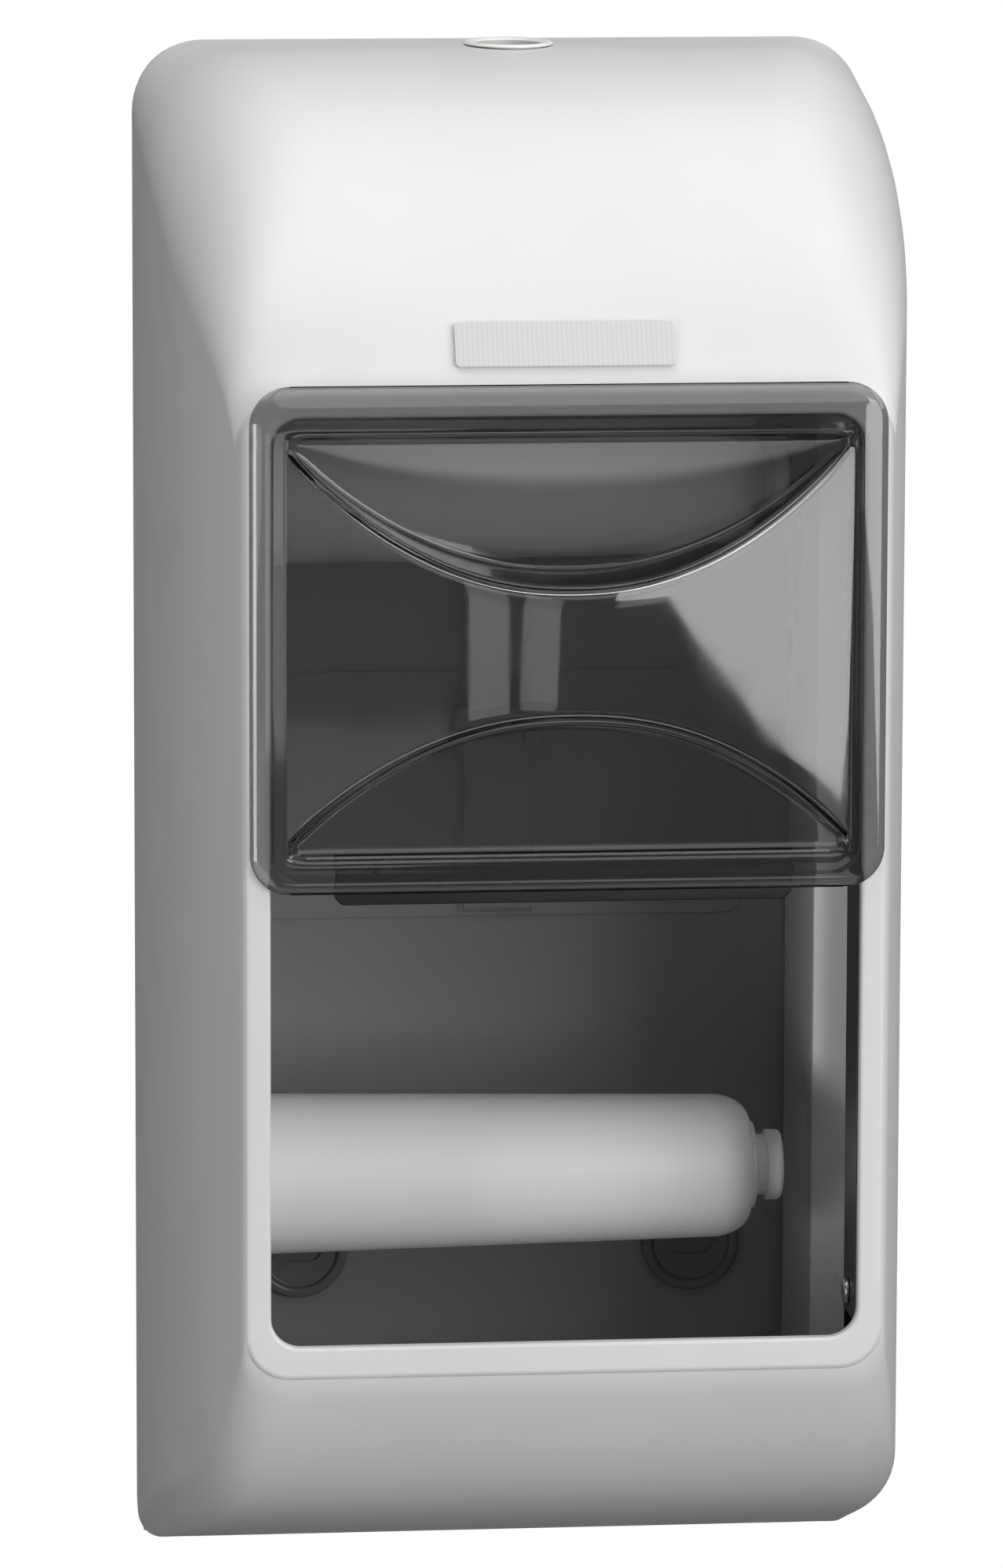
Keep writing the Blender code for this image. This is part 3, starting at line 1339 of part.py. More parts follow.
def make_guides():
    """Two channels that hold the latch strip, the upper one with the spring's shelf."""
    inner = LATCH_WIDTH / 2 + TOUCH_GAP
    outer = inner + GUIDE_WALL
    seat = LATCH_REAR_OUT - TOUCH_GAP
    lip_rear = LATCH_REAR_OUT + LATCH_THICKNESS + TOUCH_GAP
    lip_front = lip_rear + GUIDE_WALL
    root = PLATE_THICKNESS - JOIN_OVERLAP
    pieces = []
    for up in (LOWER_GUIDE_UP, UPPER_GUIDE_UP):
        channel = block("guide", (-outer, root, up), (outer, lip_front, up + GUIDE_HEIGHT), helper=True)
        slot = block(
            "guide_slot",
            (-inner, seat, up - CUT_OVERRUN),
            (inner, lip_rear, up + GUIDE_HEIGHT + CUT_OVERRUN),
            helper=True,
        )
        mouth = block(
            "guide_mouth",
            (-inner + GUIDE_LIP, seat, up - CUT_OVERRUN),
            (inner - GUIDE_LIP, lip_front + CUT_OVERRUN, up + GUIDE_HEIGHT + CUT_OVERRUN),
            helper=True,
        )
        cut(channel, slot, mouth)
        pieces.append(channel)
    shelf_top = UPPER_GUIDE_UP + GUIDE_HEIGHT
    shelf = block(
        "spring_shelf",
        (-outer, lip_front - JOIN_OVERLAP, shelf_top - SHELF_THICKNESS),
        (outer, SHELF_REACH, shelf_top),
        helper=True,
    )
    pieces.append(shelf)
    return pieces


def make_screw_cups():
    """Round seats with knock-out slots for the wall screws."""
    for level, up in (("lower", LOWER_SCREW_UP), ("upper", UPPER_SCREW_UP)):
        for side, hand in ((-1, "left"), (1, "right")):
            base = PLATE_THICKNESS + TOUCH_GAP
            profile = (
                (0, CUP_FLOOR),
                (CUP_RADIUS - CUP_RING_WIDTH, CUP_FLOOR),
                (CUP_RADIUS - CUP_RING_WIDTH * CUP_RING_INNER_SHARE, CUP_RING_HEIGHT),
                (CUP_RADIUS - CUP_RING_WIDTH * CUP_RING_OUTER_SHARE, CUP_RING_HEIGHT),
                (CUP_RADIUS, CUP_RING_HEIGHT * CUP_SHOULDER_SHARE),
                (CUP_RADIUS, 0),
                (0, 0),
            )
            name = "screw_cup_%s_%s" % (level, hand)
            cup = turned(name, profile, CUP_SEGMENTS, GREY_BACK, closed=False)
            cup.rotation_euler = (math.radians(90), 0, 0)
            cup.location = case_point(side * SCREW_SPACING / 2, base, up)
            half = (CUP_SLOT_LENGTH - CUP_SLOT_WIDTH) / 2
            middle = base + CUP_SLOT_FLOOR + CUP_RING_HEIGHT / 2
            slot = slab(
                "cup_slot",
                [slot_outline(half, CUP_SLOT_WIDTH / 2)],
                CUP_RING_HEIGHT,
                Matrix.Translation(case_point(side * SCREW_SPACING / 2, middle, up))
                @ Matrix.Rotation(math.radians(90), 4, "X"),
                helper=True,
            )
            cut(cup, slot)


def slot_outline(half_run, radius, segments=8):
    """Points of a slot with round ends, its length across."""
    points = []
    for side, start in ((1, -90), (-1, 90)):
        for step in range(segments + 1):
            angle = math.radians(start + 180 * step / segments)
            points.append((side * half_run + radius * math.cos(angle), radius * math.sin(angle)))
    return points


def cheek_face(out):
    """Distance of the cheek's inner face from the middle of the case, at a distance out."""
    return CHEEK_INNER_REAR - (CHEEK_INNER_REAR - CHEEK_INNER_FRONT) * out / CHEEK_REACH


def make_axle_set(level, up):
    """Axle, nut, washer, cap and turning spindle of one roll."""
    flange_back = -(cheek_face(SPINDLE_OUT + AXLE_FLANGE_RADIUS) - TOUCH_GAP)
    flange_front = flange_back + AXLE_FLANGE_THICKNESS
    axle = turned(
        level + "_axle",
        (
            (0, AXLE_TIP),
            (AXLE_RADIUS, AXLE_TIP),
            (AXLE_RADIUS, flange_front),
            (AXLE_FLANGE_RADIUS, flange_front),
            (AXLE_FLANGE_RADIUS, flange_back),
            (AXLE_RADIUS, flange_back),
            (AXLE_RADIUS, -AXLE_TAIL),
            (0, -AXLE_TAIL),
        ),
        24,
        STEEL,
        closed=False,
    )
    lay_across(axle, 0, SPINDLE_OUT, up)
    bore = AXLE_RADIUS + TOUCH_GAP
    washer_left = flange_front + TOUCH_GAP
    washer = turned(
        level + "_washer",
        (
            (bore, washer_left + WASHER_THICKNESS),
            (WASHER_RADIUS, washer_left + WASHER_THICKNESS),
            (WASHER_RADIUS, washer_left),
            (bore, washer_left),
        ),
        28,
        STEEL,
    )
    lay_across(washer, 0, SPINDLE_OUT, up)
    make_nut(level, up, bore)
    make_cap(level, up, bore)
    make_spindle(level, up, bore, washer_left + WASHER_THICKNESS + TOUCH_GAP)


def make_nut(level, up, bore):
    """Hexagon nut on the axle's end, outside the cheek."""
    right = -(cheek_face(SPINDLE_OUT - NUT_CORNER_RADIUS) + CHEEK_THICKNESS + TOUCH_GAP)
    start = (right, SPINDLE_OUT, up)
    end = (right - NUT_THICKNESS, SPINDLE_OUT, up)
    nut = bar(level + "_axle_nut", start, end, NUT_CORNER_RADIUS, NUT_SIDES, STEEL)
    hole = bar(
        "nut_bore",
        (right + CUT_OVERRUN, SPINDLE_OUT, up),
        (right - NUT_THICKNESS - CUT_OVERRUN, SPINDLE_OUT, up),
        bore,
        helper=True,
    )
    cut(nut, hole)


def make_cap(level, up, bore):
    """Round stub pressed on the axle's free end, which keeps the spindle on."""
    start = SPINDLE_RIGHT + TOUCH_GAP
    cap = turned(
        level + "_axle_cap",
        (
            (0, CAP_END),
            (CAP_HEAD_RADIUS - CAP_ROUND, CAP_END),
            (CAP_HEAD_RADIUS, CAP_END - CAP_ROUND),
            (CAP_HEAD_RADIUS, CAP_HEAD_START),
            (CAP_NECK_RADIUS, CAP_HEAD_START),
            (CAP_NECK_RADIUS, start),
            (bore, start),
            (bore, AXLE_TIP + TOUCH_GAP),
            (0, AXLE_TIP + TOUCH_GAP),
        ),
        28,
        WHITE_ACETAL,
        closed=False,
    )
    lay_across(cap, 0, SPINDLE_OUT, up)


def make_spindle(level, up, bore, left):
    """White tapered sleeve with a domed free end, hollow, running on the axle."""
    slope = (SPINDLE_ROOT_RADIUS - SPINDLE_TIP_RADIUS) / (SPINDLE_TAPER_END - left)
    dome_run = SPINDLE_RIGHT - SPINDLE_END_DISC - SPINDLE_TAPER_END
    dome_foot = SPINDLE_END_RADIUS + SPINDLE_END_STEP
    dome_fall = SPINDLE_TIP_RADIUS - dome_foot
    dome = []
    for step in range(7):
        angle = math.radians(90 * step / 6)
        radius = dome_foot + dome_fall * math.cos(angle)
        dome.append((radius, SPINDLE_TAPER_END + dome_run * math.sin(angle)))
    inner_tip = SPINDLE_TAPER_END - SPINDLE_WALL
    profile = [
        (bore, SPINDLE_RIGHT),
        (SPINDLE_END_RADIUS, SPINDLE_RIGHT),
        (SPINDLE_END_RADIUS, SPINDLE_RIGHT - SPINDLE_END_DISC),
    ]
    profile += dome[::-1]
    profile += [
        (SPINDLE_ROOT_RADIUS, left),
        (SPINDLE_ROOT_RADIUS - SPINDLE_WALL, left),
        (SPINDLE_TIP_RADIUS - SPINDLE_WALL + slope * SPINDLE_WALL, inner_tip),
        (bore + SPINDLE_WALL, inner_tip),
        (bore + SPINDLE_WALL, left),
        (bore, left),
    ]
    spindle = turned(level + "_spindle", profile, SPINDLE_SEGMENTS, WHITE_ACETAL)
    lay_across(spindle, 0, SPINDLE_OUT, up)


def make_hinge_pins():
    """Pins through the knuckles into the cover's bosses."""
    for side, hand in ((-1, "left"), (1, "right")):
        bar(
            "hinge_pin_" + hand,
            (side * HINGE_PIN_START, HINGE_OUT, HINGE_UP),
            (side * (HINGE_PIN_START + HINGE_PIN_LENGTH), HINGE_OUT, HINGE_UP),
            HINGE_PIN_RADIUS,
            20,
            STEEL,
        )


def make_latch():
    """Clear strip with the key pad and the hook at its top."""
    half = LATCH_WIDTH / 2
    latch = block(
        "latch",
        (-half, LATCH_REAR_OUT, LATCH_BOTTOM),
        (half, LATCH_REAR_OUT + LATCH_THICKNESS, LATCH_TOP),
        SMOKED_CLEAR,
    )
    pad_top = LATCH_TOP - JOIN_OVERLAP
    pad_low = pad_top - PAD_THICKNESS
    arm = block(
        "pad_arm",
        (-PAD_ARM_WIDTH / 2, LATCH_REAR_OUT + LATCH_THICKNESS - JOIN_OVERLAP, pad_low),
        (PAD_ARM_WIDTH / 2, PAD_OUT, pad_top),
        helper=True,
    )
    pad = bar("key_pad", (0, PAD_OUT, pad_low), (0, PAD_OUT, pad_top), PAD_RADIUS, 28, helper=True)
    hook = block(
        "hook",
        (-HOOK_WIDTH / 2, HOOK_REAR_OUT, pad_top - JOIN_OVERLAP),
        (HOOK_WIDTH / 2, HOOK_REAR_OUT + HOOK_THICKNESS, pad_top + HOOK_RISE),
        helper=True,
    )
    join(latch, arm, pad, hook)


def least_gap(places, skipped, wire_radius):
    """Least clear gap between parts of a wire that are more than some points apart."""
    spans = []
    for n, first in enumerate(places):
        for second in places[n + skipped:]:
            spans.append((first - second).length)
    return min(spans) - 2 * wire_radius


def make_latch_spring():
    """Coil spring between the shelf and the key pad's arm."""
    low = UPPER_GUIDE_UP + GUIDE_HEIGHT + TOUCH_GAP + SPRING_WIRE_RADIUS
    high = LATCH_TOP - JOIN_OVERLAP - PAD_THICKNESS - TOUCH_GAP - SPRING_WIRE_RADIUS
    count = SPRING_TURNS * SPRING_POINTS_PER_TURN
    curve = bpy.data.curves.new("latch_spring", "CURVE")
    curve.dimensions = "3D"
    places = []
    for n in range(count + 1):
        angle = 2 * math.pi * n / SPRING_POINTS_PER_TURN
        across = SPRING_RADIUS * math.cos(angle)
        out = SPRING_OUT + SPRING_RADIUS * math.sin(angle)
        places.append(case_point(across, out, low + (high - low) * n / count))
    gap = least_gap(places, SPRING_POINTS_PER_TURN // 2, SPRING_WIRE_RADIUS)
    print("latch_spring: least gap to itself %.2f mm" % (gap * 1000))
    spline = curve.splines.new("POLY")
    spline.points.add(count)
    for knot, place in zip(spline.points, places):
        knot.co = (place.x, place.y, place.z, 1)
    curve.bevel_depth = SPRING_WIRE_RADIUS
    curve.bevel_resolution = 1
    curve.use_fill_caps = True
    curve.materials.append(SPRING_STEEL)
    spring = bpy.data.objects.new("latch_spring", curve)
    PARTS.objects.link(spring)


def main():
    """Build the dispenser."""
    make_back_plate()
    make_screw_cups()
    make_hinge_pins()
    for level, up in (("lower", LOWER_SPINDLE_UP), ("upper", UPPER_SPINDLE_UP)):
        make_axle_set(level, up)
    make_latch()
    make_latch_spring()
    cover_pivot = pivot("cover_hinge", case_point(0, HINGE_OUT, HINGE_UP))
    carry(cover_pivot, make_cover())
    make_badge(cover_pivot)
    make_escutcheon(cover_pivot)
    make_keeper(cover_pivot)
    make_rails(cover_pivot)
    make_guard(cover_pivot)
    slide_middle = case_point(0, SKIRT_REAR_OUT, (SHUTTER_TOP + SHUTTER_BOTTOM) / 2)
    shutter_pivot = pivot("shutter_slide", slide_middle, cover_pivot)
    make_shutter(shutter_pivot)
    make_grip_bar(shutter_pivot)
    make_shoes(shutter_pivot)


main()
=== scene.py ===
"""Looks of a wall-hung dispenser for two toilet rolls, one above the other.

A white moulded cover with a tall window hangs on a dark back plate. A smoke-tinted shutter slides
over the window, and two white spindles stand out from the plate's left cheek.

Lengths are in metres. Places are given as (across, out, up): across from the middle of the case,
out from the wall, and up from the case's lower edge.
"""
from math import atan, cos, hypot, pi, radians, sin, sqrt, tau

import bmesh
import bpy
from mathutils import Matrix, Quaternion, Vector


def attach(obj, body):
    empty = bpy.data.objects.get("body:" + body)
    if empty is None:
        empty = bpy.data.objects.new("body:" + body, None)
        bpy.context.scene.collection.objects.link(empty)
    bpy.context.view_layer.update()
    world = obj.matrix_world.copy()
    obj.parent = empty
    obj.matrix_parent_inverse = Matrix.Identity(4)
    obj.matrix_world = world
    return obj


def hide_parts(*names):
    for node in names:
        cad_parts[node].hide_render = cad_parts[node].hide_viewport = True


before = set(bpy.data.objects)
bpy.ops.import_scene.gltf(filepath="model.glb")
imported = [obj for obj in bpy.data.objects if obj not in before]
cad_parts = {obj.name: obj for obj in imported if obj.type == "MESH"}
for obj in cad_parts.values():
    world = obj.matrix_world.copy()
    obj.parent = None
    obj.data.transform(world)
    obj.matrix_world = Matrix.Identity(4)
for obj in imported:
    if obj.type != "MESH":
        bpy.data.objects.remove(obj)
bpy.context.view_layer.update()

# Case
CASE_WIDTH = 0.154
CASE_HEIGHT = 0.319
CASE_DEPTH = 0.134
ORIGIN_UP = CASE_HEIGHT / 2
HALF_WIDTH = CASE_WIDTH / 2
FLANK_TAPER = 0.0128
FLANK_POWER = 3.3
COVER_WALL = 0.0022
SEAM = 0.0003

# Roof and floor of the cover, seen from the side
ROOF_FLAT = 0.028
ROOF_DROP = 0.084
ROOF_REACH = 0.106
FRAME_TOP = 0.2595
HINGE_OUT = 0.008
HINGE_UP = 0.0052
FLOOR_FLAT = 0.012
FLOOR_SLOPE = 0.27
FLOOR_POWER = 7
FLOOR_REACH = 0.122
FLOOR_SWEEP = 0.02866
CORNER_TOP = (0.014, 0.028, 0.009)
CORNER_FLOOR = (0.003, 0.011, 0.009)
CORNER_STEPS = 14
WIDEST_SHARE = 0.6
EDGE_STEPS = 4
COVER_SLICES = 46
COVER_REAR = 0.0028
INNER_CORNER = 0.0008
PROFILE_STEP = 0.00002

# Window in the cover's front
WINDOW_HALF_WIDTH = 0.0589
WINDOW_BOTTOM = 0.0683
WINDOW_TOP = 0.2545
WINDOW_CORNER = 0.006
FRAME_EDGE_ROUND = 0.0013
WINDOW_EDGE_ROUND = 0.0008

# Back plate
PLATE_THICKNESS = 0.0022
PLATE_INSET = 0.0005
CHEEK_THICKNESS = 0.002
CHEEK_INNER_REAR = 0.0621
CHEEK_INNER_FRONT = 0.0602
CHEEK_REACH = 0.1095
SCREW_SPACING = 0.0844
PLATE_SCREW_UPS = (0.0603, 0.2587)

# Rolls
SPINDLE_OUT = 0.067
SPINDLE_UPS = (0.0901, 0.2336)
AXLE_RADIUS = 0.004
AXLE_BORE = AXLE_RADIUS + SEAM

# Shutter
SHUTTER_HALF_WIDTH = 0.0632
SHUTTER_TOP = 0.261
SHUTTER_BOTTOM = 0.1602
SHUTTER_CORNER = 0.008
SHUTTER_WALL = 0.0022
SHUTTER_FRONT = 0.1368
PANEL_HALF_WIDTH = 0.0555
PANEL_TOP_DROP = 0.0094
PANEL_BOTTOM_RISE = 0.0066
PANEL_STEP = 0.0014
PANEL_STEP_RUN = 0.0016
WAIST_BULGE = 0.0085
UPPER_ARC_DROP = 0.0254
LOWER_ARC_RISE = 0.0238
SCOOP_RECESS = 0.0048
LEDGE_RUN = 0.0014
ARC_POWER = 2.2
SKIRT_REAR = 0.1278
SKIRT_HALF_WIDTH = 0.0584
SKIRT_BOTTOM = 0.1628
SKIRT_TOP = 0.2541
SKIRT_CORNER = 0.0056
FOOT_INNER = 0.0578
FOOT_OUTER = 0.0604
FOOT_REAR = 0.1288
FOOT_FRONT = 0.1309
FOOT_BOTTOM = 0.166
FOOT_TOP = 0.2509

# Photograph's view
LENS_MM = 203.1
SENSOR_MM = 36
CAMERA_PLACE = (-0.20153, -1.84971, 0.29939)
CAMERA_RIGHT = (0.994076, -0.108650, 0.002915)
CAMERA_UP = (0.014373, 0.157998, 0.987335)

# How near points merge, how deep joined shapes bite into each other, and the sides and levels
WELD = 0.00001
BITE = 0.0006
HANDS = ((-1, "left"), (1, "right"))
LEVELS = ("lower", "upper")


def case_point(across, out, up):
    """Scene place of a point given across, out from the wall and up from the lower edge."""
    return Vector((across, -out, up - ORIGIN_UP))


# Materials


def linear(code):
    """Linear colour of an sRGB hex code."""
    shares = [int(code[n:n + 2], 16) / 255 for n in (1, 3, 5)]
    return [s / 12.92 if s <= 0.04045 else ((s + 0.055) / 1.055) ** 2.4 for s in shares] + [1.0]


def add_node(tree, kind, inputs=(), **settings):
    """Add a node with its settings; an input is given a value, or the socket that feeds it."""
    made = tree.nodes.new(kind)
    for name, value in settings.items():
        setattr(made, name, value)
    for socket, value in dict(inputs).items():
        if isinstance(value, bpy.types.NodeSocket):
            tree.links.new(value, made.inputs[socket])
        else:
            made.inputs[socket].default_value = value
    return made


def start_material(name, **sockets):
    """Material with a Principled shader whose sockets are set, and its node tree."""
    material = bpy.data.materials.new(name)
    material.use_nodes = True
    tree = material.node_tree
    shader = tree.nodes["Principled BSDF"]
    for socket, value in sockets.items():
        shader.inputs[socket.replace("_", " ")].default_value = value
    return material, tree, shader


def grain(tree, size_mm, detail=3.0, distortion=0.0):
    """Noise whose features are about size_mm across, in the object's own space."""
    place = add_node(tree, "ShaderNodeTexCoord").outputs["Object"]
    inputs = {"Vector": place, "Scale": 1000 / size_mm, "Detail": detail, "Distortion": distortion}
    return add_node(tree, "ShaderNodeTexNoise", inputs).outputs["Fac"]


def vary(tree, shader, tone, light, dark, gloss, smooth, rough):
    """Let one pattern move the colour between two hex codes, and another one the roughness."""
    mix = add_node(tree, "ShaderNodeMix", {"Factor": tone}, data_type="RGBA")
    mix.inputs["A"].default_value = linear(light)
    mix.inputs["B"].default_value = linear(dark)
    tree.links.new(mix.outputs["Result"], shader.inputs["Base Color"])
    tree.links.new(spread(tree, gloss, smooth, rough), shader.inputs["Roughness"])


def mix_surface(tree, share, first, second):
    """Send a mix of two shaders to the material's surface."""
    mix = add_node(tree, "ShaderNodeMixShader", {"Fac": share, 1: first, 2: second})
    tree.links.new(mix.outputs["Shader"], tree.nodes["Material Output"].inputs["Surface"])


def spread(tree, value, low, high):
    """Map noise from its usual middle range to low and high."""
    inputs = {"Value": value, "From Min": 0.3, "From Max": 0.7, "To Min": low, "To Max": high}
    return add_node(tree, "ShaderNodeMapRange", inputs).outputs["Result"]


def emboss(tree, shader, height, distance_mm):
    """Bump the shader's surface by a height pattern."""
    inputs = {"Height": height, "Distance": distance_mm / 1000, "Strength": 1.0}
    bump = add_node(tree, "ShaderNodeBump", inputs)
    tree.links.new(bump.outputs["Normal"], shader.inputs["Normal"])


def moulded_plastic(name, light, dark, smooth, rough, grain_mm, grain_height_mm, ior=1.53):
    """Injection-moulded plastic with a spark-eroded grain that breaks up its sheen.

    The tone drifts a little over some centimetres, as a moulding's does, and handling leaves
    patches that are slightly more or less glossy.
    """
    drift_mm = 45
    material, tree, shader = start_material(name, IOR=ior)
    drift = spread(tree, grain(tree, drift_mm, 2.0), 0, 1)
    vary(tree, shader, drift, light, dark, grain(tree, drift_mm / 2, 4.0, 0.4), smooth, rough)
    emboss(tree, shader, grain(tree, grain_mm, 2.0), grain_height_mm)
    return material


def smoke_tinted_plastic(name, tint_code, shade_code):
    """Clear smoke-tinted plastic, polished: dark and see-through, with sharp reflections.

    Light from the lamps reaches what is behind it, toned down by the tint. Wiping leaves faint
    marks, and the moulding sinks a little over some centimetres.
    """
    material, tree, shader = start_material(name, IOR=1.57, Transmission_Weight=1.0)
    shader.inputs["Base Color"].default_value = linear(tint_code)
    wipe_marks = grain(tree, 14, 3.0, 0.6)
    tree.links.new(spread(tree, wipe_marks, 0.02, 0.05), shader.inputs["Roughness"])
    sink = grain(tree, 30, 1.0)
    emboss(tree, shader, sink, 0.02)
    through = add_node(tree, "ShaderNodeBsdfTransparent", {"Color": linear(shade_code)})
    shadow_ray = add_node(tree, "ShaderNodeLightPath").outputs["Is Shadow Ray"]
    mix_surface(tree, shadow_ray, shader.outputs["BSDF"], through.outputs["BSDF"])
    return material


def zinc_plated_steel(name):
    """Bright zinc plate over turned or pressed steel: grey with a faint blue cast and fine scratches."""
    material, tree, shader = start_material(name, Metallic=1.0)
    patches = grain(tree, 3)
    vary(tree, shader, spread(tree, patches, 0, 1), "#C9CCD0", "#AEB1B6", patches, 0.22, 0.4)
    emboss(tree, shader, grain(tree, 0.35, 2.0, 1.0), 0.01)
    return material


def drawn_spring_wire(name):
    """Drawn spring wire: darker than the plated pieces, with fine drawing marks."""
    material, tree, shader = start_material(name, Metallic=1.0)
    marks = grain(tree, 0.5, 2.0, 2.0)
    vary(tree, shader, spread(tree, marks, 0, 1), "#A9A8A6", "#8C8B8A", marks, 0.2, 0.34)
    return material


def lined_badge_plastic(name):
    """Grey badge moulding with fine upright lines, 0.5 mm apart, that dull its sheen."""
    line_spacing_mm = 0.5
    material, tree, shader = start_material(name, IOR=1.5)
    place = add_node(tree, "ShaderNodeTexCoord").outputs["Object"]
    inputs = {"Vector": place, "Scale": 1000 / line_spacing_mm / tau, "Distortion": 0.0}
    lines = add_node(tree, "ShaderNodeTexWave", inputs, bands_direction="X").outputs["Fac"]
    vary(tree, shader, lines, "#D2D2D2", "#CACACA", lines, 0.34, 0.5)
    emboss(tree, shader, lines, 0.03)
    return material


def soft_rubber(name):
    """Moulded rubber: nearly black and dull, with a fine powdery grain."""
    material, tree, shader = start_material(name, IOR=1.52)
    bloom = grain(tree, 2, 4.0)
    vary(tree, shader, spread(tree, bloom, 0, 1), "#1C1C1C", "#2A2A29", bloom, 0.7, 0.85)
    emboss(tree, shader, grain(tree, 0.3, 2.0), 0.02)
    return material


# Grain size and height in mm, and refraction, of polished polystyrene: long shallow waves
POLISHED = (40, 0.01, 1.58)
white_abs = moulded_plastic("white_abs_satin_moulded", "#DFDFDE", "#DBDBDA", 0.36, 0.44, 0.5, 0.008)
white_acetal = moulded_plastic("white_acetal_moulded", "#F1F1EF", "#ECECEA", 0.38, 0.46, 0.6, 0.006, 1.48)
grey_polystyrene = moulded_plastic("grey_polystyrene_polished", "#99999B", "#969698", 0.28, 0.28, *POLISHED)
# The roll guard's polystyrene: the back plate's dark grey plastic painted much lighter, a painted highlight
# for the bright sheen along the guard's flange
guard_polystyrene_painted_highlight = moulded_plastic(
    "grey_polystyrene_painted_highlight", "#D6D6D8", "#D2D2D4", 0.27, 0.29, *POLISHED
)
ring_polystyrene = moulded_plastic(
    "dark_grey_polystyrene_polished", "#77777A", "#737376", 0.27, 0.29, *POLISHED
)
black_abs = moulded_plastic("black_abs_moulded", "#0E0E0F", "#0B0B0C", 0.32, 0.42, 0.5, 0.006)
rail_plastic = moulded_plastic("dark_acetal_moulded", "#39393B", "#343436", 0.34, 0.42, 0.5, 0.006, 1.48)
smoked_shutter = smoke_tinted_plastic("smoke_tinted_san", "#9C9C9E", "#B6B6B8")
smoked_latch = smoke_tinted_plastic("smoke_tinted_latch", "#CFCFD1", "#CCCCCE")
zinc_steel = zinc_plated_steel("zinc_plated_steel")
spring_wire = drawn_spring_wire("drawn_spring_wire")
badge_plastic = lined_badge_plastic("lined_badge_plastic")
shoe_rubber = soft_rubber("moulded_shoe_rubber")


# Shape helpers


def eased(points, rounding, steps=3):
    """Points of a line with its inner corners rounded, the same count whatever its lengths."""
    line = [Vector(point) for point in points]
    rounds = rounding if isinstance(rounding, (list, tuple)) else [rounding] * (len(line) - 2)
    made = [line[0]]
    for before, corner, after, size in zip(line, line[1:], line[2:], rounds):
        back = before - corner
        ahead = after - corner
        start = corner + back.normalized() * min(size, back.length * 0.45)
        end = corner + ahead.normalized() * min(size, ahead.length * 0.45)
        for step in range(steps + 1):
            share = step / steps
            made.append(start * (1 - share) ** 2 + corner * 2 * share * (1 - share) + end * share ** 2)
    made.append(line[-1])
    return made


def rounded_box(half_width, bottom, top, radius_bottom, radius_top, steps=CORNER_STEPS):
    """Points of an upright box outline with rounded corners."""
    corners = (
        (half_width - radius_bottom, bottom + radius_bottom, radius_bottom, -90),
        (half_width - radius_top, top - radius_top, radius_top, 0),
        (-half_width + radius_top, top - radius_top, radius_top, 90),
        (-half_width + radius_bottom, bottom + radius_bottom, radius_bottom, 180),
    )
    points = []
    for x, y, radius, start in corners:
        for step in range(steps + 1):
            angle = radians(start + 90 * step / steps)
            points.append((x + radius * cos(angle), y + radius * sin(angle)))
    return points


def ellipse(width, length, steps=48):
    """Points of an ellipse about the origin."""
    turn = tau / steps
    return [(cos(turn * n) * width / 2, sin(turn * n) * length / 2) for n in range(steps)]


def put_in_scene(name, data):
    """Object for a mesh, curve, lamp or camera, linked to the scene."""
    item = bpy.data.objects.new(name, data)
    bpy.context.scene.collection.objects.link(item)
    return item


def from_bmesh(name, build):
    """Object made from a bmesh, welded and with its faces turned outward."""
    bmesh.ops.remove_doubles(build, verts=build.verts, dist=WELD)
    bmesh.ops.recalc_face_normals(build, faces=build.faces)
    mesh = bpy.data.meshes.new(name)
    build.to_mesh(mesh)
    build.free()
    return put_in_scene(name, mesh)


def baked(item, *helpers):
    """Apply an object's modifiers and drop the helpers that they used."""
    bpy.context.view_layer.update()
    graph = bpy.context.evaluated_depsgraph_get()
    mesh = bpy.data.meshes.new_from_object(item.evaluated_get(graph))
    item.modifiers.clear()
    item.data = mesh
    for helper in helpers:
        bpy.data.objects.remove(helper, do_unlink=True)
    return item


def combined(item, operation, helpers):
    """Join helpers to an object or cut it with them, one after another."""
    for helper in helpers:
        modifier = item.modifiers.new(operation, "BOOLEAN")
        modifier.operation = operation
        modifier.solver = "EXACT"
        modifier.object = helper
    return baked(item, *helpers)


def edge_rounded(item, width, segments=3):
    """Round an object's edges."""
    modifier = item.modifiers.new("edges", "BEVEL")
    modifier.width = width
    modifier.segments = segments
    modifier.limit_method = "ANGLE"
    modifier.angle_limit = radians(40)
    modifier.use_clamp_overlap = True
    return baked(item)


def crossbar(name, start, end, out, up, radius):
    """Round bar along the case's width, between two distances from its middle."""
    return bar(name, (start, out, up), (end, out, up), radius)


def upright(across, out, up):
    """Placing whose axis runs upward."""
    return Matrix.Translation(case_point(across, out, up))


def block(name, low, high, edge=0.0):
    """Box between two corners given as (across, out, up), its edges rounded."""
    first = case_point(*low)
    second = case_point(*high)
    build = bmesh.new()
    bmesh.ops.create_cube(build, size=1.0)
    bmesh.ops.scale(build, vec=[abs(b - a) for a, b in zip(first, second)], verts=build.verts)
    bmesh.ops.translate(build, vec=(first + second) / 2, verts=build.verts)
    item = from_bmesh(name, build)
    return edge_rounded(item, edge) if edge else item


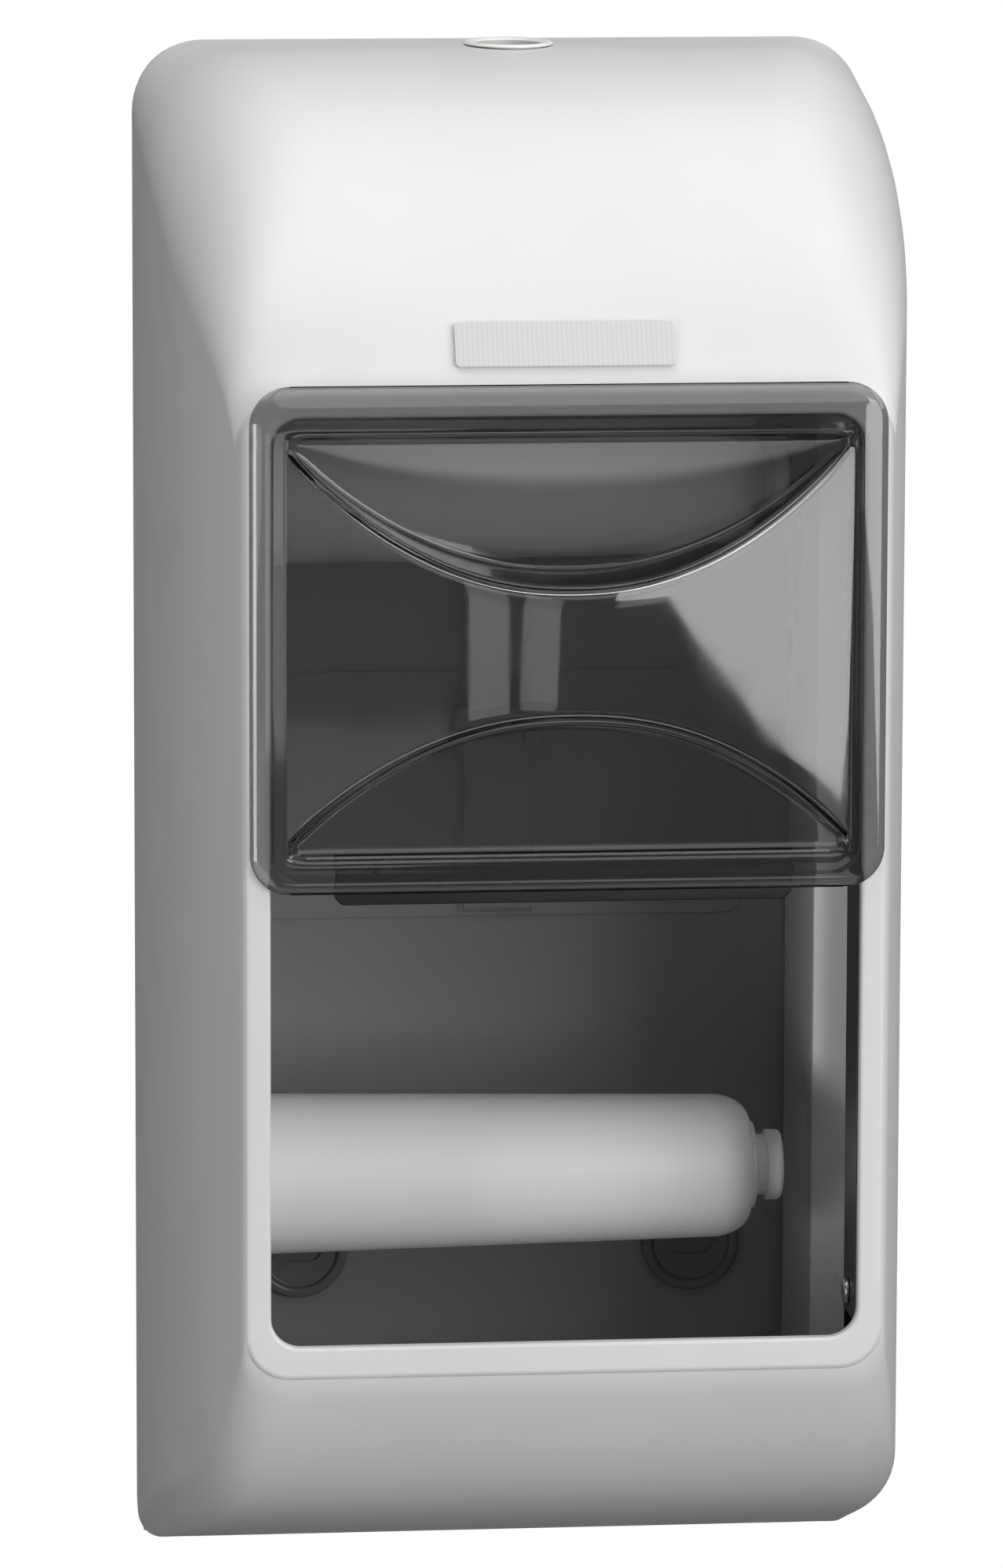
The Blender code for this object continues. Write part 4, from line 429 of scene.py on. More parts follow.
def slab(name, outlines, thickness, place, edge=0.0):
    """Flat piece of an even thickness, with its outline and any holes, in the plane of place."""
    curve = bpy.data.curves.new(name, "CURVE")
    curve.dimensions = "2D"
    curve.fill_mode = "BOTH"
    for outline in outlines:
        spline = curve.splines.new("POLY")
        spline.points.add(len(outline) - 1)
        for knot, (x, y) in zip(spline.points, outline):
            knot.co = (x, y, 0, 1)
        spline.use_cyclic_u = True
    curve.extrude = thickness / 2
    source = put_in_scene(name, curve)
    graph = bpy.context.evaluated_depsgraph_get()
    mesh = bpy.data.meshes.new_from_object(source.evaluated_get(graph))
    bpy.data.objects.remove(source, do_unlink=True)
    build = bmesh.new()
    build.from_mesh(mesh)
    bmesh.ops.transform(build, matrix=place, verts=build.verts)
    item = from_bmesh(name, build)
    return edge_rounded(item, edge) if edge else item


def turned(name, profile, place, segments=72):
    """Turned piece from (radius, along) points; place sets its axis."""
    build = bmesh.new()
    corners = [build.verts.new((radius, 0, along)) for radius, along in profile]
    edges = [build.edges.new(pair) for pair in zip(corners, corners[1:])]
    about = {"axis": (0, 0, 1), "cent": (0, 0, 0), "angle": tau}
    bmesh.ops.spin(build, geom=corners + edges, steps=segments, **about)
    bmesh.ops.transform(build, matrix=place, verts=build.verts)
    return from_bmesh(name, build)


def bar(name, start, end, radius, segments=32):
    """Round bar between two places given as (across, out, up)."""
    first = case_point(*start)
    run = case_point(*end) - first
    place = Matrix.Translation(first) @ run.to_track_quat("Z", "Y").to_matrix().to_4x4()
    return turned(name, [(0, 0), (radius, 0), (radius, run.length), (0, run.length)], place, segments)


def axis_right(across, out, up, side=1):
    """Placing whose axis runs to the right along the case's width, or to the left for side -1."""
    return upright(across, out, up) @ Matrix.Rotation(side * radians(90), 4, "Y")


def axis_front(across, out, up):
    """Placing whose axis runs out from the wall."""
    return upright(across, out, up) @ Matrix.Rotation(radians(90), 4, "X")


def facing_side():
    """Plane square to the width in the middle of the case: x out from the wall, y up."""
    return upright(0, 0, 0) @ Matrix(((0, 0, -1, 0), (-1, 0, 0, 0), (0, 1, 0, 0), (0, 0, 0, 1)))


def skin_loops(build, loops):
    """Faces between each closed loop of vertices and the next one."""
    for near, far in zip(loops, loops[1:]):
        for n in range(len(near)):
            after = (n + 1) % len(near)
            build.faces.new((near[n], near[after], far[after], far[n]))


def finish(item, material, body, node, sharp_degrees=38):
    """Give a piece its material, let it ride on its body and stand for its CAD node.

    A mesh is shaded smooth first, with its real edges kept crisp and its flats flat.
    """
    if item.type == "MESH":
        item.data.shade_smooth()
        item.data.set_sharp_from_angle(angle=radians(sharp_degrees))
        item.modifiers.new("face weights", "WEIGHTED_NORMAL").keep_sharp = True
    item.data.materials.clear()
    item.data.materials.append(material)
    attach(item, body)
    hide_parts(node)


# Cover


def flank(out):
    """Half width of the case at a distance from the wall."""
    return HALF_WIDTH - FLANK_TAPER * (out / CASE_DEPTH) ** FLANK_POWER


def brow_line(out):
    """Height of the brow alone, without the frame's top."""
    share = min(0.9999, max(0.0, out - ROOF_FLAT) / ROOF_REACH)
    return CASE_HEIGHT - ROOF_DROP + ROOF_DROP * sqrt(1 - share * share)


def brow_out(up):
    """Distance from the wall of the brow at a height."""
    rise = (up - CASE_HEIGHT + ROOF_DROP) / ROOF_DROP
    return ROOF_FLAT + ROOF_REACH * sqrt(1 - rise * rise)


def underside(out):
    """Height of the floor at a distance from the wall, round about the hinge at the rear."""
    if out <= HINGE_OUT:
        return HINGE_UP - sqrt(max(0.0, HINGE_UP ** 2 - (HINGE_OUT - out) ** 2))
    return floor_line(out)


def floor_line(out):
    """Height of the floor alone, level under the hinge."""
    run = max(0.0, out - FLOOR_FLAT)
    return FLOOR_SLOPE * run + FLOOR_SWEEP * (run / FLOOR_REACH) ** FLOOR_POWER


def swell(share, radii):
    """Corner radius along the depth: rear, then middle, then front."""
    rear, middle, front = radii
    if share < WIDEST_SHARE:
        return rear + (middle - rear) * sin(share / WIDEST_SHARE * pi / 2)
    return front + (middle - front) * cos((share - WIDEST_SHARE) / (1 - WIDEST_SHARE) * pi / 2)


def ring_at(out, outline):
    """Ring of an outline's points at a distance from the wall."""
    return [(x, out, z) for x, z in outline]


def offset_line(profile, reach, steps=160):
    """Points of a profile over the case's depth, moved square to it by reach."""
    points = []
    for n in range(steps + 1):
        out = COVER_REAR + (CASE_DEPTH - COVER_REAR) * n / steps
        slope = (profile(out + PROFILE_STEP) - profile(out - PROFILE_STEP)) / (2 * PROFILE_STEP)
        length = sqrt(1 + slope * slope)
        points.append((out - reach * slope / length, profile(out) + reach / length))
    return points


def level_at(line, out):
    """Height of a line of points at a distance from the wall."""
    for (near, low), (far, high) in zip(line, line[1:]):
        if near <= out <= far:
            return low + (high - low) * (out - near) / max(far - near, WELD)
    return line[0][1] if out < line[0][0] else line[-1][1]


def cover_slice(out):
    """Ring of the cover's outer face at a distance from the wall."""
    radii = [swell(out / CASE_DEPTH, corner) for corner in (CORNER_FLOOR, CORNER_TOP)]
    top = max(brow_line(out), FRAME_TOP)
    return ring_at(out, rounded_box(flank(out), underside(out), top, *radii))


def inner_floor(out, floors):
    """Height of the floor's inner face, rounded about the hinge at the rear."""
    radius = HINGE_UP - COVER_WALL
    behind = HINGE_OUT - out
    if behind >= radius:
        return HINGE_UP + behind - radius
    if behind > 0:
        return HINGE_UP - sqrt(radius ** 2 - behind ** 2)
    return level_at(floors, out)


def inner_slices(outs):
    """Rings of the cover's inner face at distances from the wall."""
    sides = offset_line(flank, -COVER_WALL)
    roofs = offset_line(brow_line, -COVER_WALL)
    floors = offset_line(floor_line, COVER_WALL)
    rings = []
    for out in outs:
        top = max(level_at(roofs, out), FRAME_TOP - COVER_WALL)
        outer_radii = [swell(out / CASE_DEPTH, corner) for corner in (CORNER_FLOOR, CORNER_TOP)]
        radii = [max(radius - COVER_WALL, INNER_CORNER) for radius in outer_radii]
        rings.append(ring_at(out, rounded_box(level_at(sides, out), inner_floor(out, floors), top, *radii)))
    return rings


def front_outline(inset):
    """Outline of the window's frame, drawn in by inset."""
    half = flank(CASE_DEPTH) - inset
    radius = CORNER_TOP[2] - inset
    return rounded_box(half, underside(CASE_DEPTH) + inset, FRAME_TOP - inset, radius, radius)


def window_outline(outset):
    """Outline of the window, let out by outset."""
    half = WINDOW_HALF_WIDTH + outset
    radius = WINDOW_CORNER + outset
    return rounded_box(half, WINDOW_BOTTOM - outset, WINDOW_TOP + outset, radius, radius)


def cover_rings():
    """Rings of the cover: rear edge, outer face, frame, window, and back along the inner face."""
    hinge_turns = [radians(angle) for angle in range(0, 91, 10)]
    last = brow_out(FRAME_TOP)
    shares = [sin(n / COVER_SLICES * pi / 2) ** 0.9 for n in range(COVER_SLICES + 1)]
    outs = [HINGE_OUT - HINGE_UP * cos(turn) for turn in hinge_turns]
    outs += [FLOOR_FLAT + (last - FLOOR_FLAT) * share for share in shares]
    edge = CASE_DEPTH - FRAME_EDGE_ROUND
    rings = [cover_slice(out) for out in outs + [(last + edge) / 2, edge]]
    edge_turns = [radians(90 * step / EDGE_STEPS) for step in range(EDGE_STEPS + 1)]
    for turn in edge_turns[1:]:
        outline = front_outline(FRAME_EDGE_ROUND * (1 - cos(turn)))
        rings.append(ring_at(edge + FRAME_EDGE_ROUND * sin(turn), outline))
    for turn in edge_turns:
        outline = window_outline(WINDOW_EDGE_ROUND * (1 - sin(turn)))
        rings.append(ring_at(CASE_DEPTH - WINDOW_EDGE_ROUND * (1 - cos(turn)), outline))
    face = CASE_DEPTH - COVER_WALL
    rings.append(ring_at(face, window_outline(0)))
    run = face - HINGE_OUT
    inner_outs = [face - run * (1 - cos(n / COVER_SLICES * pi / 2)) for n in range(COVER_SLICES)]
    inner_outs += [HINGE_OUT - (HINGE_UP - COVER_WALL) * sin(turn) for turn in hinge_turns]
    return rings + inner_slices(inner_outs + [COVER_REAR])


def make_cover_shell():
    """The white moulding as a shell, before its fittings."""
    build = bmesh.new()
    rings = cover_rings()
    skin_loops(build, [[build.verts.new(case_point(*point)) for point in ring] for ring in rings + rings[:1]])
    return from_bmesh("cover_moulding", build)


# Cover's fittings
KNUCKLE_INNER = 0.066
KNUCKLE_WIDTH = 0.004
NOTCH_PLAY = 0.0006
NOTCH_REACH = 0.0132
NOTCH_HEIGHT = 0.0104
HINGE_BOSS_RADIUS = 0.0045
HINGE_PIN_RADIUS = 0.002
HINGE_PIN_START = 0.0655
HINGE_PIN_LENGTH = 0.0098
KEY_WINDOW_WIDTH = 0.0166
KEY_WINDOW_LENGTH = 0.0226
KEY_WINDOW_OUT = 0.0222
RAIL_INNER = 0.0593
RAIL_OUTER = 0.0616
RAIL_SCREW_OUT = 0.1185
RAIL_SCREW_UPS = (0.0745, 0.2475)
RAIL_BOSS_RADIUS = 0.0032
GUARD_SCREW_OUT = 0.030
GUARD_SCREW_UPS = (0.036, 0.264)
GUARD_BOSS_RADIUS = 0.0035
OVERRUN = 0.004


def make_cover():
    """Cover with its hinge bosses and notches, screw bosses and key window."""
    cover = make_cover_shell()
    posts = []
    cuts = []
    notch_end = KNUCKLE_INNER + KNUCKLE_WIDTH + NOTCH_PLAY
    boss_end = HALF_WIDTH - COVER_WALL / 2
    hole_end = HINGE_PIN_START + HINGE_PIN_LENGTH + SEAM
    rail_wall = flank(RAIL_SCREW_OUT) - COVER_WALL / 2
    for side, hand in HANDS:
        ends = (side * notch_end, side * boss_end)
        posts.append(crossbar("hinge_boss", *ends, HINGE_OUT, HINGE_UP, HINGE_BOSS_RADIUS))
        low = (side * (KNUCKLE_INNER - NOTCH_PLAY), -OVERRUN, -OVERRUN)
        cuts.append(block("hinge_notch", low, (side * notch_end, NOTCH_REACH, NOTCH_HEIGHT)))
        ends = (side * HINGE_PIN_START, side * hole_end)
        cuts.append(crossbar("hinge_hole", *ends, HINGE_OUT, HINGE_UP, HINGE_PIN_RADIUS + SEAM))
        ends = (side * (RAIL_OUTER + SEAM), side * rail_wall)
        posts += [crossbar("rail_boss", *ends, RAIL_SCREW_OUT, up, RAIL_BOSS_RADIUS) for up in RAIL_SCREW_UPS]
    ends = (CHEEK_INNER_REAR + CHEEK_THICKNESS + SEAM, flank(GUARD_SCREW_OUT) - COVER_WALL / 2)
    posts += [crossbar("guard_boss", *ends, GUARD_SCREW_OUT, up, GUARD_BOSS_RADIUS) for up in GUARD_SCREW_UPS]
    key_place = upright(0, KEY_WINDOW_OUT, CASE_HEIGHT)
    cuts.append(slab("key_cut", [ellipse(KEY_WINDOW_WIDTH, KEY_WINDOW_LENGTH)], COVER_WALL * 4, key_place))
    combined(cover, "UNION", posts)
    combined(cover, "DIFFERENCE", cuts)
    finish(cover, white_abs, "cover", "cover", 34)


# Badge, key ring and keeper
BADGE_WIDTH = 0.0436
BADGE_HEIGHT = 0.0092
BADGE_THICKNESS = 0.0007
BADGE_UP = 0.2676
BADGE_CORNER = 0.0009
KEY_RING_SLEEVE = 0.0034
KEY_RING_WALL = 0.0014
KEY_RING_LIP = 0.0009


def make_badge():
    """Bare lined plate bedded on the brow, tilted as the brow is there."""
    rise = (BADGE_UP - CASE_HEIGHT + ROOF_DROP) / ROOF_DROP
    tilt = -atan(ROOF_REACH / ROOF_DROP * rise / sqrt(1 - rise * rise))
    place = (
        upright(0, brow_out(BADGE_UP), BADGE_UP)
        @ Matrix.Rotation(tilt, 4, "X")
        @ Matrix.Translation((0, -BADGE_THICKNESS / 2 - SEAM, 0))
        @ Matrix.Rotation(radians(90), 4, "X")
    )
    half = BADGE_HEIGHT / 2
    outline = rounded_box(BADGE_WIDTH / 2, -half, half, BADGE_CORNER, BADGE_CORNER, 5)
    badge = slab("badge", [outline], BADGE_THICKNESS, place, BADGE_THICKNESS * 0.3)
    finish(badge, badge_plastic, "cover", "badge_plate")


def make_key_ring():
    """Pressed oval ring that lines the key window: a sleeve and a rolled lip on the roof."""
    sleeve, wall, lip = KEY_RING_SLEEVE, KEY_RING_WALL, KEY_RING_LIP
    section = [(-wall, -sleeve), (-SEAM, -sleeve), (-SEAM, SEAM), (lip, SEAM), (lip, lip * 0.6)]
    section += [(lip * 0.6, lip * 0.95), (0, lip), (-wall * 0.7, lip * 0.8), (-wall, SEAM)]
    build = bmesh.new()
    loops = []
    for outward, rise in section:
        up = CASE_HEIGHT + rise
        outline = ellipse(KEY_WINDOW_WIDTH + 2 * outward, KEY_WINDOW_LENGTH + 2 * outward)
        loops.append([build.verts.new(case_point(x, KEY_WINDOW_OUT + y, up)) for x, y in outline])
    skin_loops(build, loops + loops[:1])
    finish(from_bmesh("key_ring", build), white_acetal, "cover", "lock_escutcheon")


KEEPER_WALL = 0.0016
KEEPER_WIDTH = 0.028
KEEPER_REAR = 0.0036
KEEPER_FRONT = 0.0087
KEEPER_TOP = CASE_HEIGHT - COVER_WALL - SEAM
KEEPER_LEG_WIDTH = 0.012
KEEPER_LEG_BOTTOM = 0.3096
KEEPER_SCREW_HALF_SPACING = 0.0106
KEEPER_SCREW_OUT = 0.0062
KEEPER_HOLE_RADIUS = 0.0014
# Shank radius, shank length, head radius and head height
RAIL_SCREW_SIZE = (0.0014, 0.0049, 0.0026, 0.0011)
GUARD_SCREW_SIZE = (0.0015, 0.0075, 0.003, 0.0014)


def make_keeper():
    """Bent plate under the roof that the latch hooks, with a rounded bend."""
    back = KEEPER_FRONT - KEEPER_WALL
    under = KEEPER_TOP - KEEPER_WALL
    outer = [(KEEPER_REAR, KEEPER_TOP), (KEEPER_FRONT, KEEPER_TOP), (KEEPER_FRONT, KEEPER_LEG_BOTTOM)]
    inner = [(back, KEEPER_LEG_BOTTOM), (back, under), (KEEPER_REAR, under)]
    outline = eased(outer, KEEPER_WALL) + eased(inner, KEEPER_WALL / 4)
    keeper = slab("keeper", [outline], KEEPER_WIDTH, facing_side())
    cuts = []
    for side, hand in HANDS:
        low = (side * KEEPER_LEG_WIDTH / 2, 0, KEEPER_LEG_BOTTOM - OVERRUN)
        high = (side * KEEPER_WIDTH, KEEPER_FRONT + OVERRUN, KEEPER_TOP - KEEPER_WALL * 1.3)
        cuts.append(block("keeper_shoulder", low, high))
        across = side * KEEPER_SCREW_HALF_SPACING
        start = (across, KEEPER_SCREW_OUT, KEEPER_TOP - OVERRUN)
        cuts.append(bar("keeper_hole", start, (across, KEEPER_SCREW_OUT, CASE_HEIGHT), KEEPER_HOLE_RADIUS))
    combined(keeper, "DIFFERENCE", cuts)
    edge_rounded(keeper, 0.0002, 2)
    finish(keeper, zinc_steel, "cover", "latch_keeper")


def make_screw(node, place, shank, length, head, height):
    """Pan-head screw with a cross recess and a tapered tip; its axis points at the tip.

    Shank and head are radii, length is the shank's and height the head's.
    """
    turns = 6
    root = shank * 0.84
    profile = [(0, length), (shank * 0.55, length), (shank * 0.8, length - shank)]
    for turn in range(turns):
        along = (length - shank * 1.6) * (1 - turn / turns)
        profile += [(shank, along), (root, along - shank * 0.25)]
    dome = [(head, 0), (head, -height * 0.6), (head * 0.55, -height), (0, -height)]
    screw = turned(node + "_fastener", profile + [(root, 0)] + eased(dome, height * 0.5), place, 32)
    cuts = []
    for turn in (45, 135):
        arm = block("recess", (-head * 0.6, -head * 0.13, 0), (head * 0.6, head * 0.13, 1))
        arm.data.transform(Matrix.Translation(-case_point(0, 0, 0)))
        arm.data.transform(Matrix.Diagonal((1, 1, height * 0.75, 1)))
        spot = Matrix.Translation((0, 0, -height * 1.25)) @ Matrix.Rotation(radians(turn), 4, "Z")
        arm.data.transform(place @ spot)
        cuts.append(arm)
    combined(screw, "DIFFERENCE", cuts)
    finish(screw, zinc_steel, "cover", node)


def make_cover_screws():
    """Screws of the keeper, the rails and the guard."""
    under = KEEPER_TOP - KEEPER_WALL - SEAM
    keeper_length = CASE_HEIGHT - COVER_WALL + 0.0014 - under
    for side, hand in HANDS:
        place = upright(side * KEEPER_SCREW_HALF_SPACING, KEEPER_SCREW_OUT, under)
        make_screw("keeper_screw_" + hand, place, 0.0011, keeper_length, 0.0021, 0.0012)
        for level, up in zip(LEVELS, RAIL_SCREW_UPS):
            place = axis_right(side * (RAIL_INNER - SEAM), RAIL_SCREW_OUT, up, side)
            make_screw("rail_screw_%s_%s" % (hand, level), place, *RAIL_SCREW_SIZE)
    face = cheek_face(GUARD_SCREW_OUT + GUARD_SCREW_SIZE[2]) - SEAM
    for level, up in zip(LEVELS, GUARD_SCREW_UPS):
        make_screw("guard_screw_" + level, axis_right(face, GUARD_SCREW_OUT, up), *GUARD_SCREW_SIZE)


# Rails and guard
RAIL_REAR = 0.112
RAIL_SHOULDER = 0.127
RAIL_TRACK_INNER = 0.0607
RAIL_BOTTOM = 0.0696
RAIL_TOP = 0.2524
RAIL_HOLE_RADIUS = 0.0017
GUARD_REAR = 0.0048
GUARD_REACH = 0.0545
GUARD_BEND = 0.0016
GUARD_FLANGE_EDGE = 0.0681
GUARD_BOTTOM = 0.016
GUARD_TOP = 0.292
GUARD_SLANT = 0.0028
GUARD_CROWN = 0.00025
GUARD_CROWN_STEPS = 12
GUARD_HOLE_RADIUS = 0.0018


def cheek_face(out):
    """Distance of the cheek's and the guard's inner face from the middle of the case."""
    return CHEEK_INNER_REAR - (CHEEK_INNER_REAR - CHEEK_INNER_FRONT) * out / CHEEK_REACH


def make_rails():
    """Guide rails behind the window's side edges, stepped for the shutter's feet."""
    front = CASE_DEPTH - COVER_WALL - SEAM
    corners = [(RAIL_INNER, RAIL_REAR), (RAIL_INNER, RAIL_SHOULDER), (RAIL_TRACK_INNER, RAIL_SHOULDER)]
    corners += [(RAIL_TRACK_INNER, front), (RAIL_OUTER, front), (RAIL_OUTER, RAIL_REAR)]
    place = upright(0, 0, (RAIL_BOTTOM + RAIL_TOP) / 2)
    for side, hand in HANDS:
        section = [(side * across, -out) for across, out in corners]
        rail = slab("guide_rail_" + hand, [section], RAIL_TOP - RAIL_BOTTOM, place)
        ends = (side * (RAIL_INNER - OVERRUN), side * (RAIL_OUTER + OVERRUN))
        holes = [crossbar("rail_hole", *ends, RAIL_SCREW_OUT, up, RAIL_HOLE_RADIUS) for up in RAIL_SCREW_UPS]
        combined(rail, "DIFFERENCE", holes)
        edge_rounded(rail, 0.0003, 2)
        finish(rail, rail_plastic, "cover", "rail_" + hand)


def make_guard():
    """Panel beside the rolls' right edges; its flange slants back and is slightly crowned."""
    rear = cheek_face(GUARD_REAR)
    front = cheek_face(GUARD_REACH)
    crown = []
    for step in range(GUARD_CROWN_STEPS + 1):
        share = step / GUARD_CROWN_STEPS
        across = front + (GUARD_FLANGE_EDGE - front) * share
        fall = GUARD_SLANT - GUARD_REACH - GUARD_SLANT * share
        crown.append(Vector((across, fall - GUARD_CROWN * 4 * share * (1 - share))))
    outer = eased([Vector((rear, -GUARD_REAR))] + crown, [GUARD_BEND] + [0] * (GUARD_CROWN_STEPS - 1), 6)
    inner = [point + Vector((0, CHEEK_THICKNESS)) for point in reversed(crown)][:-2]
    inner += [Vector((front + CHEEK_THICKNESS, inner[-1].y)), Vector((rear + CHEEK_THICKNESS, -GUARD_REAR))]
    place = upright(0, 0, (GUARD_BOTTOM + GUARD_TOP) / 2)
    guard = slab("guard_panel", [outer + inner], GUARD_TOP - GUARD_BOTTOM, place)
    ends = (front - OVERRUN, rear + OVERRUN)
    holes = [crossbar("guard_hole", *ends, GUARD_SCREW_OUT, up, GUARD_HOLE_RADIUS) for up in GUARD_SCREW_UPS]
    combined(guard, "DIFFERENCE", holes)
    edge_rounded(guard, 0.0004, 2)
    # Painted highlight: the guard's lighter grey stands in for the sheen its flange catches; the piece itself
    # is the back plate's dark grey plastic
    finish(guard, guard_polystyrene_painted_highlight, "cover", "roll_guard")


# Shutter


def rim_half_width(up):
    """Half width of the shutter's outline at a height, round at its corners."""
    above = up - (SHUTTER_TOP - SHUTTER_CORNER)
    below = SHUTTER_BOTTOM + SHUTTER_CORNER - up
    past = min(max(above, below, 0.0), SHUTTER_CORNER)
    return SHUTTER_HALF_WIDTH - SHUTTER_CORNER + sqrt(SHUTTER_CORNER ** 2 - past ** 2)


def arch(across):
    """1 in the middle of the panel, falling to 0 at its side edges."""
    return max(0.0, 1 - abs(across / PANEL_HALF_WIDTH) ** ARC_POWER)


HOLLOW_UP_SHARE = 0.4
HOLLOW_DEPTH_SHARE = 0.62
RIM_EDGE = 0.001
CORNER_ROWS = 10
FACE_ROUNDS = (0.0009, 0.0008, 0.0008, 0.008, 0.0012, 0.0016, 0.0016, 0.0012, 0.0008, 0.0008, 0.0009)


def shutter_column(across, shift, setback):
    """Line down one column of the shutter's face, as (up, out)."""
    rim = SHUTTER_FRONT - setback
    inside = 1.0 if abs(across) < PANEL_HALF_WIDTH else 0.0
    waist = rim + WAIST_BULGE * max(0.0, 1 - (across / PANEL_HALF_WIDTH) ** 2)
    hollow = rim - (PANEL_STEP + SCOOP_RECESS * arch(across)) * inside
    step = rim - PANEL_STEP * inside
    panel_top = SHUTTER_TOP - PANEL_TOP_DROP
    panel_bottom = SHUTTER_BOTTOM + PANEL_BOTTOM_RISE
    scoop_top = panel_top - PANEL_STEP_RUN
    scoop_bottom = panel_bottom + PANEL_STEP_RUN
    room = PANEL_STEP_RUN / 2
    upper_arc = scoop_top - room - UPPER_ARC_DROP * arch(across) - shift
    lower_arc = scoop_bottom + room + LOWER_ARC_RISE * arch(across) + shift
    ledge = LEDGE_RUN * arch(across) + room / 4
    sag_up = scoop_top + (upper_arc - scoop_top) * HOLLOW_UP_SHARE
    sag_out = step + (hollow - step) * HOLLOW_DEPTH_SHARE
    end = rim + (RIM_EDGE if setback else -RIM_EDGE)
    line = [(SHUTTER_TOP, end), (SHUTTER_TOP, rim), (panel_top, rim), (scoop_top, step), (sag_up, sag_out)]
    line += [(upper_arc, hollow), (upper_arc - ledge, waist), (lower_arc + ledge, waist), (lower_arc, hollow)]
    line += [(scoop_bottom, step), (panel_bottom, rim), (SHUTTER_BOTTOM, rim), (SHUTTER_BOTTOM, end)]
    return eased(line, FACE_ROUNDS, 4)


def row_counts(column):
    """Rows from each point of a column to the next: more where the outline's corners are round."""
    counts = []
    for (up, out), (next_up, next_out) in zip(column, column[1:]):
        upright_run = abs(out - next_out) < WELD and up - next_up > SHUTTER_CORNER / 2
        counts.append(CORNER_ROWS if upright_run else 1)
    return counts


RIM_COLUMN_SHARES = (0.12, 0.35, 0.62, 0.8, 0.87, 0.93, 0.97)
RIM_ROUND_RUN = 0.003
RIM_ROUND_DEPTH = 0.0013
RIM_TOP_RUN = 0.0085
PANEL_COLUMNS = 64


def rim_fall(across, up):
    """How far the rim's face falls back at a place near its outline."""
    beside = abs(across) - SHUTTER_HALF_WIDTH + SHUTTER_CORNER
    middle = (SHUTTER_TOP + SHUTTER_BOTTOM) / 2
    above = abs(up - middle) - SHUTTER_TOP + middle + SHUTTER_CORNER
    if beside > 0 and above > 0:
        inside = SHUTTER_CORNER - hypot(beside, above)
    else:
        inside = SHUTTER_CORNER - max(beside, above)
    edge_share = min(max(0, 1 - inside / RIM_ROUND_RUN), 1)
    top_share = min(max(0, 1 - (SHUTTER_TOP - up) / RIM_TOP_RUN), 1)
    return RIM_ROUND_DEPTH * max(edge_share, top_share) ** 2


def shutter_grid(build, shift, setback):
    """Vertices of one face of the shutter's shell, in columns."""
    rim_run = SHUTTER_HALF_WIDTH - PANEL_HALF_WIDTH
    right = [PANEL_HALF_WIDTH + rim_run * share for share in RIM_COLUMN_SHARES] + [SHUTTER_HALF_WIDTH]
    inner = [PANEL_HALF_WIDTH * (2 * n / PANEL_COLUMNS - 1) for n in range(PANEL_COLUMNS + 1)]
    counts = row_counts(shutter_column(SHUTTER_HALF_WIDTH, shift, setback))
    grid = []
    for across in [-place for place in reversed(right)] + inner + right:
        line = shutter_column(across, shift, setback)
        column = []
        for (up, out), (next_up, next_out), count in zip(line, line[1:], counts):
            for n in range(count):
                share = n / count
                column.append((up + (next_up - up) * share, out + (next_out - out) * share))
        verts = []
        for up, out in column + [line[-1]]:
            squeezed = across * rim_half_width(up) / SHUTTER_HALF_WIDTH
            if not setback:
                out -= rim_fall(squeezed, up)
            verts.append(build.verts.new(case_point(squeezed, out, up)))
        grid.append(verts)
    return grid


def skin(build, grid, flip):
    """Faces over a grid of vertices."""
    for left, right in zip(grid, grid[1:]):
        for n in range(len(left) - 1):
            face = (left[n], left[n + 1], right[n + 1], right[n])
            build.faces.new(face[::-1] if flip else face)


def make_shutter():
    """Smoked shell with two scoops, a skirt that runs in the window, and feet behind the frame."""
    build = bmesh.new()
    front = shutter_grid(build, 0.0, 0.0)
    rear = shutter_grid(build, SHUTTER_WALL * 0.7, SHUTTER_WALL)
    skin(build, front, False)
    skin(build, rear, True)
    skin(build, [front[0], rear[0]], True)
    skin(build, [rear[-1], front[-1]], True)
    skin(build, [[column[0] for column in grid] for grid in (front, rear)], False)
    skin(build, [[column[-1] for column in grid] for grid in (rear, front)], False)
    shutter = from_bmesh("smoked_shutter", build)
    outlines = []
    for inset in (0, SHUTTER_WALL):
        half, corner = SKIRT_HALF_WIDTH - inset, SKIRT_CORNER - inset
        outlines.append(rounded_box(half, SKIRT_BOTTOM + inset, SKIRT_TOP - inset, corner, corner, 8))
    depth = SHUTTER_FRONT - SHUTTER_WALL + BITE - SKIRT_REAR
    additions = [slab("skirt", outlines, depth, axis_front(0, SKIRT_REAR + depth / 2, 0))]
    for side, hand in HANDS:
        low = (side * FOOT_INNER, FOOT_REAR, FOOT_BOTTOM)
        additions.append(block("foot", low, (side * FOOT_OUTER, FOOT_FRONT, FOOT_TOP)))
    combined(shutter, "UNION", additions)
    finish(shutter, smoked_shutter, "shutter", "shutter", 32)


# Grip bar and shoes
GRIP_HALF_WIDTH = 0.0458
GRIP_BOTTOM = 0.1565
GRIP_HEIGHT = 0.0105
GRIP_THICKNESS = 0.0022
GRIP_CHAMFER = 0.0016
GRIP_PIN_HALF_SPACING = 0.038
GRIP_PIN_UP = 0.1641
PIN_HEAD_RADIUS = 0.0017
PIN_HEAD_HEIGHT = 0.0009
PIN_RADIUS = 0.00045
PIN_LENGTH = 0.0041
SHOE_INNER = 0.0588
SHOE_BOTTOM = 0.20045
SHOE_TOP = 0.21645
SHOE_THICKNESS = 0.0012


